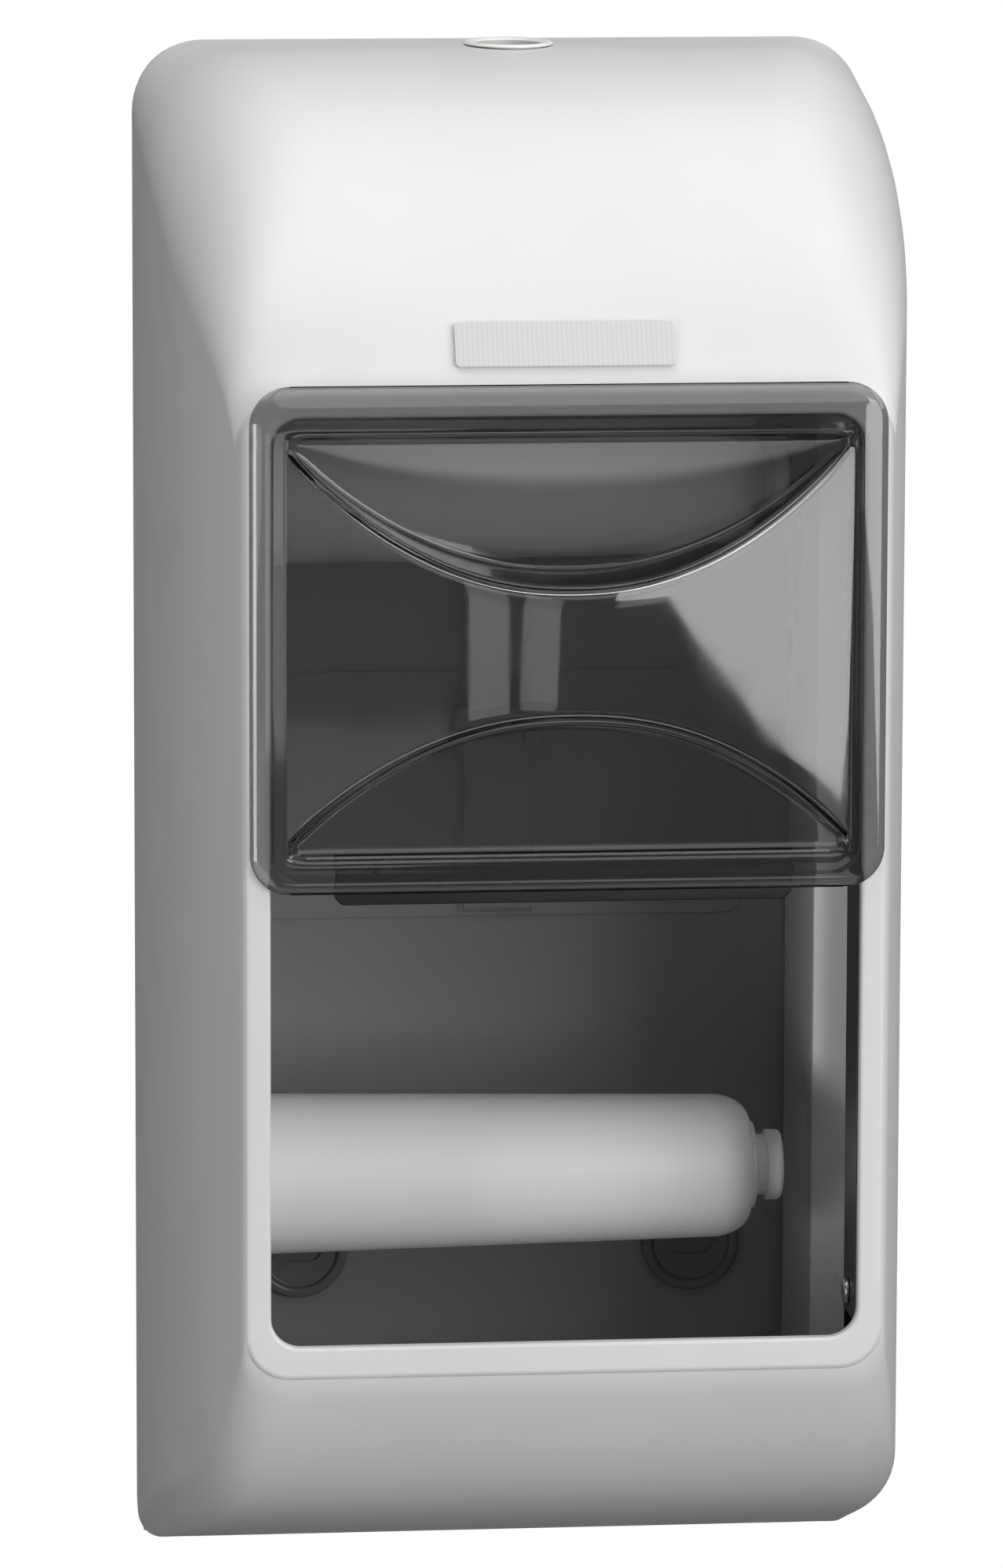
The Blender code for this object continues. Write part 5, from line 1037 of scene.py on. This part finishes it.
def make_grip_bar():
    """Black strip with chamfered ends behind the shutter's lower edge, and its two pins."""
    rear = SKIRT_REAR - SEAM - GRIP_THICKNESS
    half, chamfer = GRIP_HALF_WIDTH, GRIP_CHAMFER
    outline = [(-half + chamfer, 0), (half - chamfer, 0), (half, chamfer)]
    outline += [(half, GRIP_HEIGHT), (-half, GRIP_HEIGHT), (-half, chamfer)]
    place = axis_front(0, rear + GRIP_THICKNESS / 2, GRIP_BOTTOM)
    grip = slab("grip_strip", [outline], GRIP_THICKNESS, place, 0.0004)
    finish(grip, black_abs, "shutter", "grip_bar")
    head, top = PIN_HEAD_RADIUS, -PIN_HEAD_HEIGHT
    line = [(0, top), (head, top), (head, 0), (PIN_RADIUS, 0), (PIN_RADIUS, PIN_LENGTH), (0, PIN_LENGTH)]
    profile = eased(line, [0.0006, 0.0002, 0.0001, 0.0002])
    for side, hand in HANDS:
        spot = axis_front(side * GRIP_PIN_HALF_SPACING, rear - SEAM, GRIP_PIN_UP)
        pin = turned("grip_rivet_" + hand, profile, spot, 32)
        finish(pin, black_abs, "shutter", "grip_pin_" + hand)


def make_shoes():
    """Rubber shoes between the shutter's feet and the rails' shoulders."""
    rear = RAIL_SHOULDER + SEAM
    for side, hand in HANDS:
        low = (side * SHOE_INNER, rear, SHOE_BOTTOM)
        high = (side * FOOT_OUTER, rear + SHOE_THICKNESS, SHOE_TOP)
        shoe = block("slide_shoe_" + hand, low, high, 0.0003)
        finish(shoe, shoe_rubber, "shutter", "shutter_shoe_" + hand)


# Back plate
MID_PANEL = (0.053, 0.132, 0.185)
MID_PANEL_RISE = 0.0008
GUIDE_WALL = 0.0018
GUIDE_LIP = 0.002
GUIDE_HEIGHT = 0.010
GUIDE_UPS = (0.168, 0.268)
LATCH_HALF_WIDTH = 0.0073
LATCH_REAR = 0.005
LATCH_THICKNESS = 0.0022
SHELF_REACH = 0.0192
SHELF_THICKNESS = 0.0025
KNUCKLE_RADIUS = 0.0046
PLATE_HOLE_RADIUS = 0.004
WEB_SETBACK = 0.0026
CHEEK_BOTTOM = 0.0122
CHEEK_TOP = 0.2968
CHEEK_KNEE_OUT = 0.085


def make_guides():
    """Channels of the latch strip, the upper one with the spring's shelf."""
    inner = LATCH_HALF_WIDTH + SEAM
    outer = inner + GUIDE_WALL
    lip_rear = LATCH_REAR + LATCH_THICKNESS + SEAM
    lip_front = lip_rear + GUIDE_WALL
    mouth_half = inner - GUIDE_LIP
    pieces = []
    for up in GUIDE_UPS:
        low, high = up - OVERRUN, up + 2 * GUIDE_HEIGHT
        start = (-outer, PLATE_THICKNESS - BITE, up)
        channel = block("guide", start, (outer, lip_front, up + GUIDE_HEIGHT), 0.0004)
        slot = block("slot", (-inner, LATCH_REAR - SEAM, low), (inner, lip_rear, high))
        mouth = block("mouth", (-mouth_half, LATCH_REAR, low), (mouth_half, lip_front + OVERRUN, high))
        pieces.append(combined(channel, "DIFFERENCE", [slot, mouth]))
    shelf_top = GUIDE_UPS[1] + GUIDE_HEIGHT
    low = (-outer, lip_front - BITE, shelf_top - SHELF_THICKNESS)
    pieces.append(block("shelf", low, (outer, SHELF_REACH, shelf_top), 0.0004))
    return pieces


def make_cheek():
    """Left side wall of the back plate, its free corners rounded."""
    rear = PLATE_THICKNESS - BITE
    lower = [(rear, CHEEK_BOTTOM), (CHEEK_KNEE_OUT, 0.026), (CHEEK_REACH, 0.042)]
    upper = [(CHEEK_REACH, 0.262), (CHEEK_KNEE_OUT, 0.284), (rear, CHEEK_TOP)]
    lean = atan((CHEEK_INNER_REAR - CHEEK_INNER_FRONT) / CHEEK_REACH)
    place = (
        upright(-CHEEK_INNER_REAR - CHEEK_THICKNESS / 2, 0, 0)
        @ Matrix.Rotation(lean, 4, "Z")
        @ Matrix.Translation(-case_point(0, 0, 0))
        @ facing_side()
    )
    return slab("cheek", [eased(lower + upper, 0.006, 5)], CHEEK_THICKNESS, place, 0.0004)


def make_back_plate():
    """Plate, cheek, hinge knuckles and latch guides, one moulding."""
    radii = (CORNER_FLOOR[0] - PLATE_INSET, CORNER_TOP[0] - PLATE_INSET)
    outline = rounded_box(HALF_WIDTH - PLATE_INSET, PLATE_INSET, CASE_HEIGHT - PLATE_INSET, *radii)
    plate = slab("back_moulding", [outline], PLATE_THICKNESS, axis_front(0, PLATE_THICKNESS / 2, 0), 0.0004)
    depth = MID_PANEL_RISE + BITE
    panel_place = axis_front(0, PLATE_THICKNESS + MID_PANEL_RISE - depth / 2, 0)
    panel_outline = rounded_box(*MID_PANEL, 0.004, 0.004, 6)
    additions = [slab("mid_panel", [panel_outline], depth, panel_place, 0.0003), make_cheek()]
    cuts = []
    web = KNUCKLE_RADIUS * 0.7
    for side, hand in HANDS:
        inner = side * KNUCKLE_INNER
        outer = side * (KNUCKLE_INNER + KNUCKLE_WIDTH)
        additions.append(crossbar("knuckle", inner, outer, HINGE_OUT, HINGE_UP, KNUCKLE_RADIUS))
        low = (inner, PLATE_THICKNESS - BITE, HINGE_UP - web)
        additions.append(block("web", low, (outer, HINGE_OUT - WEB_SETBACK, HINGE_UP + web)))
        ends = (inner - side * OVERRUN, outer + side * OVERRUN)
        cuts.append(crossbar("bore", *ends, HINGE_OUT, HINGE_UP, HINGE_PIN_RADIUS + SEAM))
        across = side * SCREW_SPACING / 2
        for up in PLATE_SCREW_UPS:
            cuts.append(bar("hole", (across, -OVERRUN, up), (across, OVERRUN * 2, up), PLATE_HOLE_RADIUS))
    additions += make_guides()
    ends = (-CHEEK_INNER_REAR - OVERRUN, -CHEEK_INNER_FRONT + OVERRUN)
    cuts += [crossbar("axle_bore", *ends, SPINDLE_OUT, up, AXLE_BORE) for up in SPINDLE_UPS]
    combined(plate, "UNION", additions)
    combined(plate, "DIFFERENCE", cuts)
    finish(plate, grey_polystyrene, "wall_frame", "back_plate")


# Seats of the wall screws
CUP_RADIUS = 0.0104
CUP_RING_WIDTH = 0.0023
CUP_RING_HEIGHT = 0.0021
CUP_FLOOR = 0.0009
CUP_SLOT_FLOOR = 0.0004
CUP_SLOT_HALF_RUN = 0.0023
CUP_SLOT_RADIUS = 0.0025
CUP_RIM_RADII = (0.0033, 0.0026)


def slot_outline(half_run, radius, steps=10):
    """Points of a slot with round ends."""
    points = []
    for side, start in ((1, -90), (-1, 90)):
        for step in range(steps + 1):
            angle = radians(start + 180 * step / steps)
            points.append((side * half_run + radius * cos(angle), radius * sin(angle)))
    return points


def make_screw_cups():
    """Round seats for the wall screws, each with a raised ring and a knock-out slot in its dish."""
    base = PLATE_THICKNESS + SEAM
    inner = CUP_RADIUS - CUP_RING_WIDTH
    line = [(0, CUP_FLOOR * 0.8), (inner * 0.8, CUP_FLOOR), (inner, CUP_FLOOR)]
    line += [(inner + 0.0003, CUP_RING_HEIGHT), (CUP_RADIUS, CUP_RING_HEIGHT), (CUP_RADIUS, 0), (0, 0)]
    profile = eased(line, [0.001, 0.0003, 0.0007, 0.0007, 0.0001])
    slot_shape = [slot_outline(CUP_SLOT_HALF_RUN, CUP_SLOT_RADIUS)]
    rim_shape = [slot_outline(CUP_SLOT_HALF_RUN, radius) for radius in CUP_RIM_RADII]
    for level, up in zip(LEVELS, PLATE_SCREW_UPS):
        for side, hand in HANDS:
            across = side * SCREW_SPACING / 2
            cup = turned("seat_%s_%s" % (level, hand), profile, axis_front(across, base, up))
            slot_place = axis_front(across, base + CUP_SLOT_FLOOR + CUP_RING_HEIGHT / 2, up)
            slot = slab("slot", slot_shape, CUP_RING_HEIGHT, slot_place)
            rim = slab("rim", rim_shape, CUP_FLOOR, axis_front(across, base + CUP_FLOOR, up))
            combined(cup, "UNION", [rim])
            combined(cup, "DIFFERENCE", [slot])
            node = "screw_cup_%s_%s" % (level, hand)
            finish(cup, ring_polystyrene, "wall_frame", node)


# Spindles and axles
SPINDLE_ROOT_RADIUS = 0.0166
SPINDLE_TIP_RADIUS = 0.0148
SPINDLE_END_RADIUS = 0.009
SPINDLE_TAPER_END = 0.038
SPINDLE_RIGHT = 0.0467
SPINDLE_WALL = 0.0018
SPINDLE_DISC = 0.0009
DOME_STEPS = 14
NOTCH_RADIUS = 0.0016
AXLE_TIP = 0.0508
AXLE_TAIL = 0.0668
FLANGE_RADIUS = 0.011
FLANGE_THICKNESS = 0.0016
WASHER_RADIUS = 0.0095
WASHER_THICKNESS = 0.0008
NUT_RADIUS = 0.0075
NUT_THICKNESS = 0.0034
NUT_CHAMFER = 0.0007
CAP_NECK_RADIUS = 0.0063
CAP_HEAD_RADIUS = 0.0073
CAP_HEAD_START = 0.0491
CAP_END = 0.0525


def make_spindle(level, up, left):
    """White tapered sleeve with a domed free end and a small stepped end disc."""
    foot = SPINDLE_END_RADIUS + 0.0004
    disc = SPINDLE_RIGHT - SPINDLE_DISC
    dome = []
    for step in range(DOME_STEPS + 1):
        angle = radians(90 * step / DOME_STEPS)
        radius = foot + (SPINDLE_TIP_RADIUS - foot) * cos(angle)
        dome.append((radius, SPINDLE_TAPER_END + (disc - SPINDLE_TAPER_END) * sin(angle)))
    start = [(AXLE_BORE, SPINDLE_RIGHT), (SPINDLE_END_RADIUS, SPINDLE_RIGHT)]
    start += [(SPINDLE_END_RADIUS, disc), dome[-1]]
    tube = AXLE_BORE + SPINDLE_WALL
    hollow_end = SPINDLE_TAPER_END - SPINDLE_WALL
    end = [dome[0], (SPINDLE_ROOT_RADIUS, left), (SPINDLE_ROOT_RADIUS - SPINDLE_WALL, left)]
    end += [(SPINDLE_TIP_RADIUS - SPINDLE_WALL, hollow_end), (tube, hollow_end), (tube, left)]
    end += [(AXLE_BORE, left), (AXLE_BORE, SPINDLE_RIGHT)]
    profile = eased(start, [0.0004, 0.0002]) + dome[-2:0:-1]
    profile += eased(end, [0.0006, 0.0004, 0.001, 0.001, 0.0003, 0.0003])
    spindle = turned(level + "_sleeve", profile, axis_right(0, SPINDLE_OUT, up), 96)
    notches = []
    for turn in range(4):
        angle = radians(45 + 90 * turn)
        reach = SPINDLE_END_RADIUS + 0.0012
        spot = (SPINDLE_OUT + reach * cos(angle), up + reach * sin(angle))
        notches.append(bar("notch", (disc - 0.0014, *spot), (SPINDLE_RIGHT, *spot), NOTCH_RADIUS, 16))
    combined(spindle, "DIFFERENCE", notches)
    finish(spindle, white_acetal, level + "_spindle", level + "_spindle")


def make_axle_set(level, up):
    """Axle with its flange, nut, washer and end cap, and the spindle that turns on it."""
    back = -(cheek_face(SPINDLE_OUT + FLANGE_RADIUS) - SEAM)
    front = back + FLANGE_THICKNESS
    place = axis_right(0, SPINDLE_OUT, up)
    line = [(0, AXLE_TIP), (AXLE_RADIUS, AXLE_TIP), (AXLE_RADIUS, front), (FLANGE_RADIUS, front)]
    line += [(FLANGE_RADIUS, back), (AXLE_RADIUS, back), (AXLE_RADIUS, -AXLE_TAIL), (0, -AXLE_TAIL)]
    axle = turned(level + "_pin", eased(line, [0.0005, 0.0002, 0.0003, 0.0003, 0.0002, 0.0006]), place)
    finish(axle, zinc_steel, "wall_frame", level + "_axle")
    washer_left = front + SEAM
    washer_right = washer_left + WASHER_THICKNESS
    make_washer(level, washer_left, washer_right, place)
    make_nut(level, -(cheek_face(SPINDLE_OUT - NUT_RADIUS) + CHEEK_THICKNESS + SEAM), place)
    make_cap(level, place)
    make_spindle(level, up, washer_right + SEAM)


def make_washer(level, left, right, place):
    """Flat ring with softened edges."""
    middle = (AXLE_BORE, (left + right) / 2)
    line = [middle, (AXLE_BORE, right), (WASHER_RADIUS, right), (WASHER_RADIUS, left)]
    washer = turned(level + "_shim", eased(line + [(AXLE_BORE, left), middle], 0.0002), place)
    finish(washer, zinc_steel, "wall_frame", level + "_washer")


def make_nut(level, right, place):
    """Hexagon nut with turned corners."""
    left = right - NUT_THICKNESS
    middle = right - NUT_THICKNESS / 2
    shoulder = NUT_RADIUS * 0.86
    line = [(AXLE_BORE, middle), (AXLE_BORE, right), (shoulder, right), (NUT_RADIUS, right - NUT_CHAMFER)]
    line += [(NUT_RADIUS, left + NUT_CHAMFER), (shoulder, left), (AXLE_BORE, left), (AXLE_BORE, middle)]
    nut = turned(level + "_hex_nut", line, place, 60)
    sheath = ellipse(4 * NUT_RADIUS, 4 * NUT_RADIUS, 40)
    hexagon = ellipse(2 * NUT_RADIUS, 2 * NUT_RADIUS, 6)
    trim = slab("trim", [sheath, hexagon], NUT_THICKNESS * 2, place @ Matrix.Translation((0, 0, middle)))
    combined(nut, "DIFFERENCE", [trim])
    finish(nut, zinc_steel, "wall_frame", level + "_axle_nut", 25)


def make_cap(level, place):
    """Round stub on the axle's free end: a neck and a head with softened edges."""
    start = SPINDLE_RIGHT + SEAM
    floor = AXLE_TIP + SEAM
    line = [(0, CAP_END), (CAP_HEAD_RADIUS, CAP_END), (CAP_HEAD_RADIUS, CAP_HEAD_START)]
    line += [(CAP_NECK_RADIUS, CAP_HEAD_START), (CAP_NECK_RADIUS, start), (AXLE_BORE, start)]
    line += [(AXLE_BORE, floor), (0, floor)]
    profile = eased(line, [0.0014, 0.0005, 0.0003, 0.0003, 0.0002, 0.0001], 5)
    cap = turned(level + "_stub", profile, place)
    finish(cap, white_acetal, "wall_frame", level + "_axle_cap")


def make_hinge_pins():
    """Plain pins with chamfered ends through the knuckles into the cover's bosses."""
    line = [(0, 0), (HINGE_PIN_RADIUS, 0), (HINGE_PIN_RADIUS, HINGE_PIN_LENGTH), (0, HINGE_PIN_LENGTH)]
    for side, hand in HANDS:
        place = axis_right(side * HINGE_PIN_START, HINGE_OUT, HINGE_UP, side)
        pin = turned("pivot_pin_" + hand, eased(line, 0.0004), place, 40)
        finish(pin, zinc_steel, "wall_frame", "hinge_pin_" + hand)


# Latch
LATCH_BOTTOM = 0.1335
LATCH_TOP = 0.308
ARM_HALF_WIDTH = 0.005
PAD_TOP = LATCH_TOP - BITE
PAD_OUT = 0.023
PAD_RADIUS = 0.0068
PAD_THICKNESS = 0.0024
HOOK_REAR = 0.009
HOOK_THICKNESS = 0.0024
HOOK_RISE = 0.0045
DIMPLE_HALF_SPACING = 0.0028
DIMPLE_RADIUS = 0.0012
DIMPLE_DEPTH = 0.0011
COIL_RADIUS = 0.0036
COIL_OUT = 0.0135
COIL_TURNS = 6
COIL_STEPS = 28
WIRE_RADIUS = 0.0005


def make_latch():
    """Clear strip with the hook at its top and the key pad under the key window."""
    half = LATCH_HALF_WIDTH
    front = LATCH_REAR + LATCH_THICKNESS
    latch = block("latch_strip", (-half, LATCH_REAR, LATCH_BOTTOM), (half, front, LATCH_TOP), 0.0005)
    under = PAD_TOP - PAD_THICKNESS
    arm = block("arm", (-ARM_HALF_WIDTH, front - BITE, under), (ARM_HALF_WIDTH, PAD_OUT, PAD_TOP), 0.0003)
    pad = bar("pad", (0, PAD_OUT, under), (0, PAD_OUT, PAD_TOP), PAD_RADIUS, 48)
    low = (-ARM_HALF_WIDTH, HOOK_REAR, PAD_TOP - BITE)
    hook = block("hook", low, (ARM_HALF_WIDTH, HOOK_REAR + HOOK_THICKNESS, PAD_TOP + HOOK_RISE), 0.0004)
    combined(latch, "UNION", [arm, pad, hook])
    dimples = []
    for side, hand in HANDS:
        across = side * DIMPLE_HALF_SPACING
        low, high = (across, PAD_OUT, PAD_TOP - DIMPLE_DEPTH), (across, PAD_OUT, PAD_TOP + 0.001)
        dimples.append(bar("dimple", low, high, DIMPLE_RADIUS, 24))
    combined(latch, "DIFFERENCE", dimples)
    finish(latch, smoked_latch, "latch", "latch")


def make_latch_spring():
    """Coil spring between the shelf and the key pad's arm."""
    low = GUIDE_UPS[1] + GUIDE_HEIGHT + SEAM + WIRE_RADIUS
    high = PAD_TOP - PAD_THICKNESS - SEAM - WIRE_RADIUS
    count = COIL_TURNS * COIL_STEPS
    curve = bpy.data.curves.new("coil_spring", "CURVE")
    curve.dimensions = "3D"
    spline = curve.splines.new("POLY")
    spline.points.add(count)
    for n, knot in enumerate(spline.points):
        angle = tau * n / COIL_STEPS
        out = COIL_OUT + COIL_RADIUS * sin(angle)
        knot.co = (*case_point(COIL_RADIUS * cos(angle), out, low + (high - low) * (n / count)), 1)
    curve.bevel_depth = WIRE_RADIUS
    curve.bevel_resolution = 3
    curve.use_fill_caps = True
    finish(put_in_scene("coil_spring", curve), spring_wire, "wall_frame", "latch_spring")


# Studio
TARGET = (0, -0.07, 0)
FLOOR_PLACE = (0, -0.1, -0.8)
FLOOR_RADIUS = 0.6
FLOOR_FADE_START = 0.2
FILL_STRENGTH = 0.035


def make_floor():
    """Pale floor below the dispenser that keeps its shadow and fades into the white surround."""
    material, tree, shader = start_material("pale_matt_floor", Roughness=0.9)
    shader.inputs["Base Color"].default_value = linear("#CCCCCC")
    place = add_node(tree, "ShaderNodeTexCoord").outputs["Object"]
    distance = add_node(tree, "ShaderNodeVectorMath", {0: place}, operation="LENGTH").outputs["Value"]
    fade = smooth_ramp(tree, distance, FLOOR_FADE_START, FLOOR_RADIUS, 0.0, 1.0)
    clear = add_node(tree, "ShaderNodeBsdfTransparent")
    mix_surface(tree, fade, shader.outputs["BSDF"], clear.outputs["BSDF"])
    build = bmesh.new()
    bmesh.ops.create_circle(build, cap_ends=True, segments=96, radius=FLOOR_RADIUS)
    floor = from_bmesh("floor", build)
    floor.location = FLOOR_PLACE
    floor.data.materials.append(material)


def smooth_ramp(tree, value, start, end, low, high):
    """Let a value ease from low to high while another one goes from start to end."""
    inputs = {"Value": value, "From Min": start, "From Max": end, "To Min": low, "To Max": high}
    return add_node(tree, "ShaderNodeMapRange", inputs, interpolation_type="SMOOTHSTEP").outputs["Result"]


def make_softbox(name, place, width, height, watts, roll=0):
    """Rectangular softbox aimed at the dispenser, rolled about its own axis by degrees."""
    light = bpy.data.lights.new(name, "AREA")
    light.shape = "RECTANGLE"
    light.size = width
    light.size_y = height
    light.energy = watts
    lamp = put_in_scene(name, light)
    lamp.location = place
    aim = (Vector(TARGET) - Vector(place)).to_track_quat("-Z", "Y")
    lamp.rotation_euler = (aim @ Quaternion((0, 0, 1), radians(roll))).to_euler()
    return lamp


def fade_to_edges(lamp):
    """Let a lamp's light fall off from its middle to its edges, so that its mirror image is soft."""
    lamp.data.use_nodes = True
    tree = lamp.data.node_tree
    spot = add_node(tree, "ShaderNodeNewGeometry").outputs["Parametric"]
    reach = add_node(tree, "ShaderNodeVectorMath", {0: spot, 1: (0.5, 0.5, 0)}, operation="DISTANCE")
    fall = smooth_ramp(tree, reach.outputs["Value"], 0.08, 0.5, 1.0, 0.0)
    tree.links.new(fall, tree.nodes["Emission"].inputs["Strength"])


def around(azimuth, elevation, distance):
    """Place at an azimuth to the right of straight ahead and an elevation, about the dispenser."""
    turn = radians(azimuth)
    lift = radians(elevation)
    level = distance * cos(lift)
    return (level * sin(turn), TARGET[1] - level * cos(turn), distance * sin(lift))


def make_surround():
    """White world for the camera's rays, also through clear plastic, and a faint fill for all others."""
    world = bpy.data.worlds.new("white_surround")
    bpy.context.scene.world = world
    world.use_nodes = True
    tree = world.node_tree
    tree.nodes.clear()
    path = add_node(tree, "ShaderNodeLightPath").outputs
    rays = {0: path["Is Camera Ray"], 1: path["Is Transmission Ray"]}
    seen = add_node(tree, "ShaderNodeMath", rays, operation="MAXIMUM").outputs["Value"]
    inputs = {"Fac": seen}
    for socket, strength in ((1, FILL_STRENGTH), (2, 1.0)):
        background = add_node(tree, "ShaderNodeBackground", {"Color": (1, 1, 1, 1), "Strength": strength})
        inputs[socket] = background.outputs["Background"]
    mix = add_node(tree, "ShaderNodeMixShader", inputs)
    add_node(tree, "ShaderNodeOutputWorld", {"Surface": mix.outputs["Shader"]})


def make_studio():
    """White surround, softboxes at the right, left and overhead, and low ones that the shutter mirrors.

    The umbrella's soft edges shade the scoops. The three dim cards give the shutter its pale upright
    band and the dim field at its lower left.
    """
    make_surround()
    make_softbox("high_right_softbox", around(20, 30, 1.35), 0.85, 0.7, 2.8)
    make_softbox("low_right_softbox", around(32, 5.7, 1.35), 0.95, 0.6, 9, -7.5)
    make_softbox("right_softbox", around(66, 30, 1.4), 0.5, 0.8, 4)
    make_softbox("left_softbox", around(-45, 58, 1.5), 0.9, 0.9, 4)
    make_softbox("low_left_strip", around(-50, -6, 1.5), 0.5, 0.5, 5.6)
    fade_to_edges(make_softbox("low_front_umbrella", around(6, -34, 1.2), 0.62, 0.44, 1.6))
    make_softbox("left_card", (-0.1085, -1.34, -0.105), 0.117, 0.11, 0.057)
    make_softbox("right_card", (0.045, -1.34, -0.105), 0.105, 0.11, 0.046, -16)
    make_softbox("low_left_card", around(-19.8, -10.8, 1.35), 0.48, 0.19, 0.125)
    make_softbox("overhead_softbox", around(180, 84, 1.3), 1.7, 1.5, 13.2)
    make_floor()


def make_camera():
    """Camera at the photograph's place."""
    data = bpy.data.cameras.new("photo_camera")
    data.sensor_width = SENSOR_MM
    data.lens = LENS_MM
    camera = put_in_scene("photo_camera", data)
    right = Vector(CAMERA_RIGHT)
    up = Vector(CAMERA_UP)
    turn = Matrix((right, up, right.cross(up))).transposed().to_4x4()
    camera.matrix_world = Matrix.Translation(CAMERA_PLACE) @ turn
    bpy.context.scene.camera = camera


def main():
    """Build the dispenser's looks and its studio."""
    bpy.context.scene.view_settings.view_transform = "Standard"
    make_back_plate()
    make_screw_cups()
    for level, up in zip(LEVELS, SPINDLE_UPS):
        make_axle_set(level, up)
    make_hinge_pins()
    make_latch()
    make_latch_spring()
    make_cover()
    make_badge()
    make_key_ring()
    make_keeper()
    make_cover_screws()
    make_rails()
    make_guard()
    make_shutter()
    make_grip_bar()
    make_shoes()
    make_studio()
    make_camera()


main()
